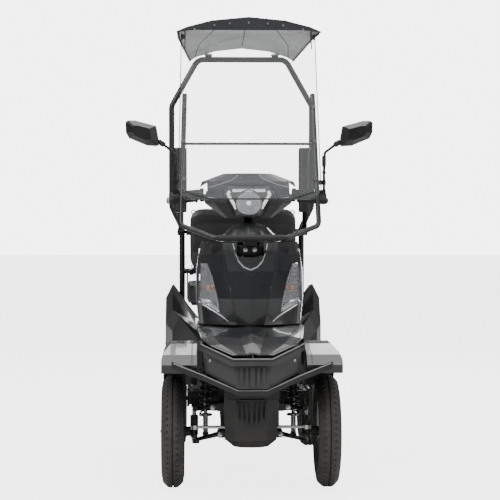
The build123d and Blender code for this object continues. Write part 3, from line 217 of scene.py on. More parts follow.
VINYL = Finish("black_vinyl", "seat_vinyl", (0.014, 0.014, 0.015), 0.4, coat=0.1, grain=Grain.PEBBLE,
               pitch=2.4, depth=0.35)
THREAD = Finish("grey_stitching", "seat_vinyl", (0.2, 0.2, 0.21), 0.7)
BATTERY = Finish("battery_box", "battery_case", (0.02, 0.021, 0.024), 0.5, depth=0.1)
DISPLAY = Finish("dark_display", "clear_lens", (0.01, 0.014, 0.018), 0.08, coat=1.0, depth=0.0, dust=0.0)
GREEN = Finish("green_segment", "clear_lens", (0.1, 0.75, 0.25), 0.3, glow=0.6, dust=0.0)
RED = Finish("red_button", "black_plastic", (0.5, 0.02, 0.015), 0.4)


# ---------------------------------------------------------------- workshop


def mm(x: float, y: float, z: float) -> Vector:
    """Point given in millimetres."""
    return Vector((x, y, z)) * MM


def clear_selection() -> None:
    """Deselect everything."""
    for obj in bpy.context.selected_objects:
        obj.select_set(False)


def bake_place(obj: bpy.types.Object) -> bpy.types.Object:
    """Move an object's place, turn and scale into its mesh."""
    clear_selection()
    obj.select_set(True)
    bpy.context.view_layer.objects.active = obj
    bpy.ops.object.transform_apply(location=True, rotation=True, scale=True)
    return obj


def use_modifier(obj: bpy.types.Object, kind: str, **settings: object) -> bpy.types.Object:
    """Add a modifier and apply it.

    Args:
        obj: Mesh to change.
        kind: Blender's modifier type.
        settings: Values of the modifier.

    Returns:
        The same object.
    """
    clear_selection()
    obj.select_set(True)
    bpy.context.view_layer.objects.active = obj
    added = obj.modifiers.new(kind, kind)
    for key, value in settings.items():
        setattr(added, key, value)
    bpy.ops.object.modifier_apply(modifier=added.name)
    return obj


def block(low: Vector, high: Vector, edge: float = 1.0) -> bpy.types.Object:
    """Box between two corners with rounded edges.

    Args:
        low: Lowest corner.
        high: Highest corner.
        edge: Edge radius in millimetres.

    Returns:
        The new mesh object.
    """
    clear_selection()
    bpy.ops.mesh.primitive_cube_add(size=1, location=(low + high) / 2)
    obj = bpy.context.object
    obj.scale = high - low
    bake_place(obj)
    if edge:
        use_modifier(obj, "BEVEL", width=edge * MM, segments=2)
    return obj


def rod(start: Vector, end: Vector, radius: float, tip: float | None = None, edge: float = 0.6,
        sides: int = 28) -> bpy.types.Object:
    """Round bar or cone between two points.

    Args:
        start: First end.
        end: Second end.
        radius: Radius at the start in millimetres.
        tip: Radius at the end, the same where it isn't given.
        edge: Edge radius in millimetres.
        sides: Number of flats.

    Returns:
        The new mesh object.
    """
    clear_selection()
    way = end - start
    tip = radius if tip is None else tip
    bpy.ops.mesh.primitive_cone_add(vertices=sides, radius1=radius * MM, radius2=tip * MM, depth=way.length,
                                    location=(start + end) / 2,
                                    rotation=way.to_track_quat("Z", "Y").to_euler())
    obj = bake_place(bpy.context.object)
    if edge:
        use_modifier(obj, "BEVEL", width=edge * MM, segments=2, limit_method="ANGLE",
                     angle_limit=math.radians(40))
    return obj


def ball(middle: Vector, radius: float, squash: Vector = Vector((1, 1, 1))) -> bpy.types.Object:
    """Ball, flattened by a factor along each axis."""
    clear_selection()
    bpy.ops.mesh.primitive_uv_sphere_add(segments=24, ring_count=14, radius=radius * MM, location=middle)
    bpy.context.object.scale = squash
    return bake_place(bpy.context.object)


def hoop(middle: Vector, way: Vector, radius: float, thick: float) -> bpy.types.Object:
    """Ring round an axis, sizes in millimetres."""
    clear_selection()
    bpy.ops.mesh.primitive_torus_add(location=middle, rotation=way.to_track_quat("Z", "Y").to_euler(),
                                     major_radius=radius * MM, minor_radius=thick * MM,
                                     major_segments=36, minor_segments=10)
    return bake_place(bpy.context.object)


def from_rings(rings: list[Points], closed: bool = True, caps: bool = True) -> bpy.types.Object:
    """Mesh that bridges equal rings of points, in order.

    Args:
        rings: Rings with the same number of points.
        closed: Whether each ring closes on itself.
        caps: Whether the two end rings are filled.

    Returns:
        The new mesh object.
    """
    shape = bmesh.new()
    rows = [[shape.verts.new(p) for p in ring] for ring in rings]
    count = len(rows[0])
    for one, two in zip(rows, rows[1:]):
        for i in range(count if closed else count - 1):
            j = (i + 1) % count
            shape.faces.new((one[i], one[j], two[j], two[i]))
    if caps:
        shape.faces.new(rows[0][::-1])
        shape.faces.new(rows[-1])
    bmesh.ops.recalc_face_normals(shape, faces=shape.faces)
    mesh = bpy.data.meshes.new("rings")
    shape.to_mesh(mesh)
    shape.free()
    obj = bpy.data.objects.new("rings", mesh)
    bpy.context.scene.collection.objects.link(obj)
    return obj


def tube(points: Points, radius: float, closed: bool = False, round_off: int = 3) -> bpy.types.Object:
    """Round bar along a smooth line.

    Args:
        points: Control points of the line.
        radius: Radius in millimetres.
        closed: Whether the line closes on itself.
        round_off: How closely the line keeps to its points, 2 for straight runs.

    Returns:
        The new mesh object.
    """
    line = bpy.data.curves.new("tube", "CURVE")
    line.dimensions = "3D"
    line.bevel_depth = radius * MM
    line.bevel_resolution = 3
    line.resolution_u = 6
    line.use_fill_caps = not closed
    spline = line.splines.new("NURBS")
    spline.points.add(len(points) - 1)
    for place, point in zip(spline.points, points):
        place.co = (*point, 1)
    spline.order_u = min(round_off, len(points))
    spline.use_endpoint_u = not closed
    spline.use_cyclic_u = closed
    obj = bpy.data.objects.new("tube", line)
    bpy.context.scene.collection.objects.link(obj)
    clear_selection()
    obj.select_set(True)
    bpy.context.view_layer.objects.active = obj
    bpy.ops.object.convert(target="MESH")
    return bpy.context.object


def joined(parts: list[bpy.types.Object]) -> bpy.types.Object:
    """Several meshes as one."""
    clear_selection()
    for part in parts:
        part.select_set(True)
    bpy.context.view_layer.objects.active = parts[0]
    if len(parts) > 1:
        bpy.ops.object.join()
    return bpy.context.object


def piece(obj: bpy.types.Object, name: str, finish: Finish, body: str,
          angle: float = 35.0) -> bpy.types.Object:
    """Name, smooth, dress and ride a finished mesh.

    Args:
        obj: Mesh in its place.
        name: Name of the piece.
        finish: Its finish.
        body: CAD body that it rides on.
        angle: Edges sharper than this stay sharp, in degrees.

    Returns:
        The same object.
    """
    obj.name = name
    obj.data.name = name
    obj.data.materials.clear()
    obj.data.materials.append(finish.material())
    clear_selection()
    obj.select_set(True)
    bpy.context.view_layer.objects.active = obj
    bpy.ops.object.shade_smooth_by_angle(angle=math.radians(angle))
    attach(obj, body)
    LOG.info("%s rides on %s", name, body)
    return obj


def dress(node: str, finish: Finish, other: Finish | None = None,
          where: FaceTest | None = None) -> None:
    """Give a CAD node its finish, and a second one where a test holds.

    Args:
        node: CAD node.
        finish: Main finish.
        other: Second finish.
        where: Test of a face's middle in millimetres, true for the second finish.
    """
    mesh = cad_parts[node].data
    mesh.materials.clear()
    mesh.materials.append(finish.material())
    if other is not None:
        mesh.materials.append(other.material())
    for face in mesh.polygons:
        face.material_index = 1 if other is not None and where(face.center / MM) else 0


def loose_parts(node: str, wanted: Callable[[Vector, Vector], bool]) -> bpy.types.Object:
    """Copy of the loose parts of a CAD node whose middle passes a test.

    Args:
        node: CAD node.
        wanted: Test of a part's lowest and highest corners in millimetres.

    Returns:
        The copy as a new mesh object.
    """
    shape = bmesh.new()
    shape.from_mesh(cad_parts[node].data)
    bmesh.ops.remove_doubles(shape, verts=shape.verts, dist=0.00002)
    left = set(shape.verts)
    unwanted = []
    while left:
        stack, part = [left.pop()], []
        while stack:
            vert = stack.pop()
            part.append(vert)
            for edge in vert.link_edges:
                near = edge.other_vert(vert)
                if near in left:
                    left.remove(near)
                    stack.append(near)
        low = Vector([min(v.co[i] for v in part) for i in range(3)]) / MM
        high = Vector([max(v.co[i] for v in part) for i in range(3)]) / MM
        if not wanted(low, high):
            unwanted += part
    bmesh.ops.delete(shape, geom=unwanted, context="VERTS")
    mesh = bpy.data.meshes.new("copy")
    shape.to_mesh(mesh)
    shape.free()
    obj = bpy.data.objects.new("copy", mesh)
    bpy.context.scene.collection.objects.link(obj)
    return obj


class Skin:
    """Outer surface of a CAD node, found by straight lines."""

    def __init__(self, node: str) -> None:
        """Read a CAD node.

        Args:
            node: Its name.
        """
        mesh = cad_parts[node].data
        self.tree = BVHTree.FromPolygons([v.co for v in mesh.vertices],
                                         [tuple(f.vertices) for f in mesh.polygons])

    def hit(self, start: Vector, way: Vector) -> tuple[Vector, Vector] | None:
        """First point that a line meets and the normal that faces it."""
        spot, normal, _, _ = self.tree.ray_cast(start, way)
        if spot is None:
            return None
        return spot, (normal if normal.dot(way) < 0 else -normal)

    def ahead(self, x: float, z: float) -> tuple[Vector, Vector] | None:
        """Surface seen from the front at x and z in millimetres."""
        return self.hit(mm(x, -1200, z), Vector((0, 1, 0)))

    def above(self, x: float, y: float) -> tuple[Vector, Vector] | None:
        """Surface seen from above at x and y in millimetres."""
        return self.hit(mm(x, y, 2500), Vector((0, 0, -1)))

    def beneath(self, x: float, y: float) -> tuple[Vector, Vector] | None:
        """Surface seen from below at x and y in millimetres."""
        return self.hit(mm(x, y, 1300), Vector((0, 0, 1)))

    def behind(self, x: float, z: float) -> tuple[Vector, Vector] | None:
        """Surface seen from behind at x and z in millimetres."""
        return self.hit(mm(x, 1200, z), Vector((0, -1, 0)))


def strip(look: Callable, line: list[tuple[float, float]], width: float, height: float, step: float = 8.0,
          sink: float = 1.0) -> bpy.types.Object:
    """Moulded strip laid along a line on a surface.

    Args:
        look: Method of a Skin that finds the surface.
        line: Corners of the line in millimetres.
        width: Width in millimetres.
        height: How far it stands proud in millimetres.
        step: Spacing of the rings in millimetres.
        sink: How far it sits in the surface in millimetres.

    Returns:
        The new mesh object.
    """
    found = []
    for (a, b), (c, d) in zip(line, line[1:]):
        count = max(1, round(math.hypot(c - a, d - b) / step))
        found += [look(a + (c - a) * i / count, b + (d - b) * i / count) for i in range(count)]
    found.append(look(*line[-1]))
    found = [spot for spot in found if spot is not None]
    if len(found) < 2:
        raise ValueError(f"no surface under the strip from {line[0]} to {line[-1]}")
    rings = []
    for i, (spot, normal) in enumerate(found):
        along = (found[min(i + 1, len(found) - 1)][0] - found[max(i - 1, 0)][0]).normalized()
        across = along.cross(normal).normalized() * width * MM / 2
        up, down = normal * height * MM, normal * -sink * MM
        rings.append([spot - across + down, spot - across + up * 0.6, spot - across * 0.6 + up,
                      spot + across * 0.6 + up, spot + across + up * 0.6, spot + across + down])
    return from_rings(rings)


def screw(spot: Vector, normal: Vector, radius: float, proud: float = 2.0) -> bpy.types.Object:
    """Round screw head with a hexagon socket, sizes in millimetres."""
    head = rod(spot - normal * MM, spot + normal * proud * MM, radius, radius * 0.86, 0.5, 24)
    rim = hoop(spot + normal * proud * MM, normal, radius * 0.5, radius * 0.12)
    return joined([head, rim])


def nut(spot: Vector, way: Vector, radius: float, thick: float) -> bpy.types.Object:
    """Hexagon nut with its washer and stud end, sizes in millimetres."""
    washer = rod(spot, spot + way * 1.5 * MM, radius * 1.45, edge=0.3)
    body = rod(spot, spot + way * (1.5 + thick) * MM, radius * 1.15, edge=0.5, sides=6)
    stud = rod(spot, spot + way * (thick + 5) * MM, radius * 0.55, edge=0.6, sides=20)
    return joined([washer, body, stud])


# ---------------------------------------------------------------- wheels


@dataclass
class Wheels:
    """Four wheels: dressed rims and tyres, tread lugs, valve stems and hub caps."""

    tyre_radius: float = 206.0
    rim_radius: float = 133.5
    lugs: int = 54
    lug_rise: float = 1.5

    def axle(self, node: str) -> Vector:
        """Middle of a wheel, in metres."""
        low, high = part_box(node)
        return (low + high) / 2

    def crown(self, across: float) -> float:
        """Tyre radius at a distance from its middle plane, in millimetres."""
        bends = ((0, 206.0), (17, 204.0), (27, 196.0), (38, 185.0))
        for (a, high), (b, low) in zip(bends, bends[1:]):
            if abs(across) <= b:
                return high + (low - high) * (abs(across) - a) / (b - a)
        return bends[-1][1]

    def lug(self, middle: Vector, turn: float, side: int) -> bpy.types.Object:
        """One flame-shaped tread lug.

        Args:
            middle: Middle of the wheel.
            turn: Its place round the tyre in radians.
            side: 1 or -1, the half of the tread that it is on.

        Returns:
            The new mesh object.
        """
        rings = []
        for across, sway, width in ((3.2, 0, 9), (10, 5, 15), (17, 7, 16), (24, 3, 15), (30, -4, 12),
                                    (35, -9, 6)):
            ring = []
            for edge, rise in ((-1, -1.5), (-0.8, self.lug_rise), (0.8, self.lug_rise), (1, -1.5)):
                radius = (self.crown(across) + rise) * MM
                lead = turn + side * 0.5 * math.tau / self.lugs / 2
                angle = lead + (sway + edge * width / 2) / self.tyre_radius
                ring.append(middle + Vector((side * across * MM, radius * math.sin(angle),
                                             radius * math.cos(angle))))
            rings.append(ring)
        return from_rings(rings)

    def tread(self, name: str, node: str, body: str) -> None:
        """Lugs all round a tyre, as one piece."""
        middle = self.axle(node)
        lugs = [self.lug(middle, math.tau * i / self.lugs, side) for i in range(self.lugs) for side in (1,
                                                                                                        -1)]
        piece(joined(lugs), name, TYRE, body, 50)

    def build(self) -> None:
        """Dress the wheels and add what they carry."""
        for sign, side in SIDES:
            for end in ("front", "rear"):
                node = f"{end}_wheel_{side}"
                middle = self.axle(node)
                flat = Vector((0, middle.y, middle.z)) / MM

                def on_rim(spot: Vector, flat: Vector = flat) -> bool:
                    """Whether a point is on the rim."""
                    return math.hypot(spot.y - flat.y, spot.z - flat.z) < self.rim_radius
                dress(node, TYRE, RIM, on_rim)
                self.tread(f"{end}_tread_{side}", node, node)
                out = Vector((sign, 0, 0))
                valve = middle + Vector((sign * 8 * MM, 0, 0))
                stem = rod(valve + mm(0, 0, -116), valve + mm(sign * 16, 0, -100), 3, edge=0.4)
                cap = rod(valve + mm(sign * 15, 0, -101), valve + mm(sign * 23, 0, -93), 3.8, edge=0.6)
                piece(joined([stem, cap]), f"{end}_valve_{side}", RUBBER, node)
                for face, reach in ((-1, 29), (1, 29)):
                    ring = hoop(middle + out * face * reach * MM, out, 21, 1.6)
                    piece(ring, f"{end}_hub_ring_{side}_{'outer' if face > 0 else 'inner'}", CHROME, node)
                bolts = []
                for i in range(5):
                    angle = math.tau * (i + 0.5) / 5
                    spot = middle + mm(sign * 13, 20 * math.sin(angle), 20 * math.cos(angle))
                    bolts.append(rod(spot + out * 14 * MM, spot + out * 19 * MM, 3.4, edge=0.5, sides=6))
                piece(joined(bolts), f"{end}_hub_bolts_{side}", ZINC, node)
                beads = [hoop(middle + out * at * MM, out, 139.0, 1.3) for at in (-29.5, 29.5)]
                walls = [hoop(middle + out * at * MM, out, 166.0, 1.0) for at in (-40.6, 40.6)]
                piece(joined(beads + walls), f"{end}_tyre_beads_{side}", TYRE, node)


# ---------------------------------------------------------------- seat


@dataclass
class Seat:
    """Upholstered seat, back and armrests, swelled as cloth between their seams."""

    voxel: float = 6.0
    pressure: float = 4.0
    steps: int = 20
    cushion_swell: float = 9.0
    arm_swell: float = 4.0

    def swell(self, obj: bpy.types.Object, held: FaceTest, cap: float, voxel: float) -> bpy.types.Object:
        """Blow up a closed shape as cloth, keeping some points in place.

        Args:
            obj: Closed mesh to swell.
            held: Test of a point in millimetres, true where the cloth is held.
            cap: Furthest that a point may move, in millimetres.
            voxel: Spacing of the cloth's points, in millimetres.

        Returns:
            The swelled mesh object.
        """
        use_modifier(obj, "REMESH", mode="VOXEL", voxel_size=voxel * MM)
        rest = [v.co.copy() for v in obj.data.vertices]
        fixed = [i for i, co in enumerate(rest) if held(co / MM)]
        pins = obj.vertex_groups.new(name="held")
        pins.add(fixed, 1.0, "REPLACE")
        cloth = obj.modifiers.new("cloth", "CLOTH")
        cloth.settings.vertex_group_mass = "held"
        cloth.settings.use_pressure = True
        cloth.settings.uniform_pressure_force = self.pressure
        cloth.settings.effector_weights.gravity = 0
        cloth.settings.quality = 5
        cloth.point_cache.frame_end = self.steps
        for step in range(1, self.steps + 1):
            bpy.context.scene.frame_set(step)
        clear_selection()
        obj.select_set(True)
        bpy.context.view_layer.objects.active = obj
        bpy.ops.object.modifier_apply(modifier="cloth")
        bpy.context.scene.frame_set(1)
        for vert, start in zip(obj.data.vertices, rest):
            move = vert.co - start
            if move.length > cap * MM:
                vert.co = start + move.normalized() * cap * MM
        use_modifier(obj, "SMOOTH", iterations=2, factor=0.5)
        return use_modifier(obj, "SUBSURF", levels=1, render_levels=1)

    def cushion(self) -> None:
        """Seat cushion with two cross seams, a front roll and piping round its top."""
        low, high = (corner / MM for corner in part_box("seat_cushion"))
        obj = loose_parts("seat_cushion", lambda a, b: True)
        seams = (low.y + 95, low.y + 225, high.y - 85)

        def held(co: Vector) -> bool:
            """Whether the cloth is sewn or glued down here."""
            flat = co.z < low.z + 8
            sewn = co.z > high.z - 8 and min(abs(co.y - s) for s in seams) < 4
            edge = co.z > high.z - 8 and min(co.x - low.x, high.x - co.x, co.y - low.y, high.y - co.y) < 10
            return flat or sewn or edge
        obj = self.swell(obj, held, self.cushion_swell, self.voxel)
        piece(obj, "seat_cushion_cover", VINYL, "seat", 80)
        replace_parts(obj, "seat_cushion")
        top, inset, turn = high.z - 4, 4, 34
        corners = []
        for sx, sy in ((1, 1), (-1, 1), (-1, -1), (1, -1)):
            x = high.x - inset if sx > 0 else low.x + inset
            y = high.y - inset if sy > 0 else low.y + inset
            ends = [(x - sx * turn, y), (x, y), (x, y - sy * turn)]
            corners += ends if sx * sy > 0 else ends[::-1]
        line = [mm(x, y, top) for x, y in corners]
        piece(tube(line, 2.6, closed=True), "seat_cushion_piping", VINYL, "seat")
        threads = []
        for seam in seams:
            count = 44
            for i in range(count):
                x = low.x + 22 + (high.x - low.x - 44) * i / (count - 1)
                threads.append(rod(mm(x - 2.6, seam, high.z + 0.4), mm(x + 2.6, seam, high.z + 0.4), 0.7,
                                   edge=0, sides=6))
        piece(joined(threads), "seat_cushion_stitches", THREAD, "seat")
        base = block(mm(low.x + 12, low.y + 12, low.z - 2.5), mm(high.x - 12, high.y - 12, low.z + 3), 1)
        piece(base, "seat_base_board", BLACK, "seat")

    def back(self) -> None:
        """Back pad with a curved headline seam and vertical channels, on its own frame."""
        low, high = (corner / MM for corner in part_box("backrest"))

        def is_pad(a: Vector, b: Vector) -> bool:
            """Whether a loose part is the pad."""
            return a.y < low.y + 5 and b.x - a.x > 250 and b.z - a.z > 200
        pad = loose_parts("backrest", is_pad)
        rest = loose_parts("backrest", lambda a, b: not is_pad(a, b))
        xs, ys, zs = ([v.co[i] / MM for v in pad.data.vertices] for i in range(3))
        a, b = Vector((min(xs), min(ys), min(zs))), Vector((max(xs), max(ys), max(zs)))
        seams = (a.z + 78, b.z - 62)

        def held(co: Vector) -> bool:
            """Whether the cloth is sewn or glued down here."""
            behind = co.y > b.y - 7
            sewn = co.y < a.y + 8 and min(abs(co.z - s) for s in seams) < 4
            channel = co.y < a.y + 8 and seams[0] < co.z < seams[1] and min(abs(co.x - s) for s in (-92,
                                                                                                    92)) < 4
            return behind or sewn or channel
        obj = self.swell(pad, held, self.cushion_swell, self.voxel)
        piece(obj, "back_pad_cover", VINYL, "back", 80)
        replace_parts(obj, "backrest")
        frame_copy = piece(rest, "back_frame", STEEL, "back")
        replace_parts(frame_copy, "backrest")
        panel = block(mm(a.x + 14, b.y - 2, a.z + 14), mm(b.x - 14, b.y + 3, b.z - 14), 2)
        piece(panel, "back_rear_board", BLACK, "back")
        heads = [screw(mm(x, b.y + 3, z), Vector((0, 1, 0)), 4.5) for x in (a.x + 30,
                                                                            b.x - 30) for z in (a.z + 30,
                                                                                                b.z - 30)]
        piece(joined(heads), "back_rear_screws", ZINC, "back")
        turn, inset = 26, 5
        line = []
        for sx, sz in ((1, 1), (-1, 1), (-1, -1), (1, -1)):
            x, z = (b.x - inset if sx > 0 else a.x + inset), (b.z - inset if sz > 0 else a.z + inset)
            ends = [(x - sx * turn, z), (x, z), (x, z - sz * turn)]
            line += ends if sx * sz > 0 else ends[::-1]
        piece(tube([mm(x, a.y + 5, z) for x, z in line], 2.4, closed=True), "back_pad_piping", VINYL,
              "back")

    def armrest(self, side: str) -> None:
        """Rounded armrest pad on its plate."""
        node = f"armrest_{side}"
        low, high = (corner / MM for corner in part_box(node))

        def is_pad(a: Vector, b: Vector) -> bool:
            """Whether a loose part is the pad."""
            return b.z - a.z > 150 and a.y < low.y + 4
        pad = loose_parts(node, is_pad)
        plate = loose_parts(node, lambda a, b: not is_pad(a, b))
        if not pad.data.vertices or not plate.data.vertices:
            dress(node, VINYL)
            LOG.warning("%s has one part", node)
            return
        deep = max(v.co.y for v in pad.data.vertices) / MM
        obj = self.swell(pad, lambda co: co.y > deep - 5, self.arm_swell, 4.5)
        piece(obj, f"armrest_pad_{side}", VINYL, node, 80)
        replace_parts(obj, node)
        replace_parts(piece(plate, f"armrest_plate_{side}", STEEL, node), node)

    def build(self) -> None:
        """Make the soft pieces and dress the seat's steel."""
        self.cushion()
        self.back()
        for _, side in SIDES:
            self.armrest(side)
        dress("seat_frame", STEEL)
        dress("seat_swivel", STEEL)


# ---------------------------------------------------------------- lights


@dataclass
class Lights:
    """Headlamp and turn lamps with their reflectors, bulbs and trims, and the tail lamps."""

    bowl_front: float = -325.0
    beam_height: float = 1051.0

    def headlamp(self) -> None:
        """Round reflector, bulb, brow and light guide behind the headlamp lens."""
        dress("headlamp", BLACK, LENS, lambda spot: spot.y < self.bowl_front - 0.2)
        y, z = self.bowl_front, self.beam_height
        rings = []
        for depth, radius in ((-1, 52), (-16, 52), (-17, 48), (-8, 40), (-2, 33), (3, 27), (10, 16),
                              (12, 6)):
            rings.append([mm(radius * math.cos(math.tau * i / 40), y + depth,
                             z + radius * math.sin(math.tau * i / 40) * 0.9)
                          for i in range(40)])
        piece(from_rings(rings, caps=False), "headlamp_reflector", BOWL, "steering_head", 50)
        bulb = joined([ball(mm(0, y - 6, z), 9), rod(mm(0, y + 12, z), mm(0, y - 6, z), 6, 8)])
        piece(bulb, "headlamp_bulb", WHITE_LIGHT, "steering_head")
        piece(hoop(mm(0, y - 17, z), Vector((0, 1, 0)), 50, 2.4), "headlamp_bezel", BLACK, "steering_head")
        guides = []
        for points in (((-62, 1099), (62, 1099)), ((72, 1096), (80, 1086), (56, 1046), (48, 1030)),
                       ((-72, 1096), (-80, 1086), (-56, 1046), (-48, 1030))):
            guides.append(tube([mm(x, y - 12, z) for x, z in points], 6.0, round_off=2))
        piece(joined(guides), "headlamp_light_guide", WHITE_LIGHT, "steering_head")
        brow = from_rings([[mm(-70 + i, y - 3, 1110), mm(70 - i, y - 3, 1110),
                            mm(60 - i, y - 26, 1106 - i * 0.4),
                            mm(-60 + i, y - 26, 1106 - i * 0.4)] for i in (0, 4)])
        piece(brow, "headlamp_brow", BLACK, "steering_head")
        chin = block(mm(-34, y - 20, 1001), mm(34, y - 1, 1007), 1.5)
        piece(chin, "headlamp_chin", GREY, "steering_head")

    def turn_lamp(self, sign: int, side: str) -> None:
        """Ribbed reflector tray, bulb and bright trim of a turn lamp.

        Args:
            sign: 1 for the left side, -1 for the right.
            side: Name of the side.
        """
        skin = Skin("lamp_lenses")
        outline = [(158, 826), (184, 826), (187, 690), (185, 684), (113, 648), (121, 701), (139, 773)]
        found = [skin.ahead(sign * x, z) for x, z in outline]
        middle = Vector((sign * 156, 0, 736))
        rim, deep = [], []
        for (x, z), spot in zip(outline, found):
            depth = spot[0].y / MM if spot else -470
            rim.append(mm(sign * x, depth + 5, z))
            inward = Vector((middle.x - sign * x, 0, middle.z - z)) * 0.16
            deep.append(mm(sign * x + inward.x, min(depth + 30, -405), z + inward.z))
        tray = from_rings([rim, deep], caps=False)
        floor_face = from_rings([deep, [p + (mm(*middle) - p) * 0.02 for p in deep]])
        piece(joined([tray, floor_face]), f"turn_lamp_reflector_{side}", REFLECTOR, "chassis", 25)
        at = sum(deep, Vector()) / len(deep)
        bulb = joined([ball(at + mm(0, -9, 0), 9, Vector((1, 1, 1.3))), rod(at, at + mm(0, -8, 0), 7, 6)])
        piece(bulb, f"turn_lamp_bulb_{side}", AMBER, "chassis")
        ribs = []
        for i in range(1, 12):
            height = (650 + 15 * i) * MM
            inner = min(deep[4:] + [deep[0]], key=lambda p: abs(p.z - height))
            outer = min(deep[1:4], key=lambda p: abs(p.z - height))
            spread = (deep[1].x - deep[4].x) * 0.04
            ribs.append(tube([Vector((inner.x + spread, at.y - 0.003, height)),
                              Vector((outer.x - spread, at.y - 0.003, height))], 1.2, round_off=2))
        piece(joined(ribs), f"turn_lamp_ribs_{side}", CHROME, "chassis")
        cowl = Skin("cowl")
        trim = strip(cowl.ahead, [(sign * 191, 684), (sign * 150, 660), (sign * 106, 636),
                                  (sign * 82, 616)], 5, 2.2)
        piece(trim, f"turn_lamp_trim_{side}", CHROME, "chassis")

    def tail_lamps(self) -> None:
        """Ribbed faces and bezels of the tail lamps."""
        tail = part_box("rear_bumper")[1].y / MM
        for sign, side in SIDES:
            outline = [(175, 430), (232, 436), (242, 510), (185, 520)]
            line = [mm(sign * x, tail - 3, z) for x, z in outline]
            frame_line = [p for a, b in zip(line, line[1:] + line[:1]) for p in (a + (b - a) * 0.08,
                                                                                 a + (b - a) * 0.92)]
            piece(tube(frame_line, 3.0, closed=True, round_off=2), f"tail_lamp_bezel_{side}", CHROME,
                  "chassis")
            bars = [block(mm(min(sign * 182, sign * 234), tail - 2.6, 446 + 13 * i),
                          mm(max(sign * 182, sign * 234), tail - 0.2, 449 + 13 * i), 0.5)
                    for i in range(5)]
            piece(joined(bars), f"tail_lamp_bars_{side}", RED_LENS, "chassis")

    def build(self) -> None:
        """Make all the lights."""
        self.headlamp()
        for sign, side in SIDES:
            self.turn_lamp(sign, side)
        self.tail_lamps()
        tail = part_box("rear_bumper")[1].y / MM
        dress("lamp_lenses", LENS, RED_LENS, lambda spot: spot.y > tail - 100)


# ---------------------------------------------------------------- body


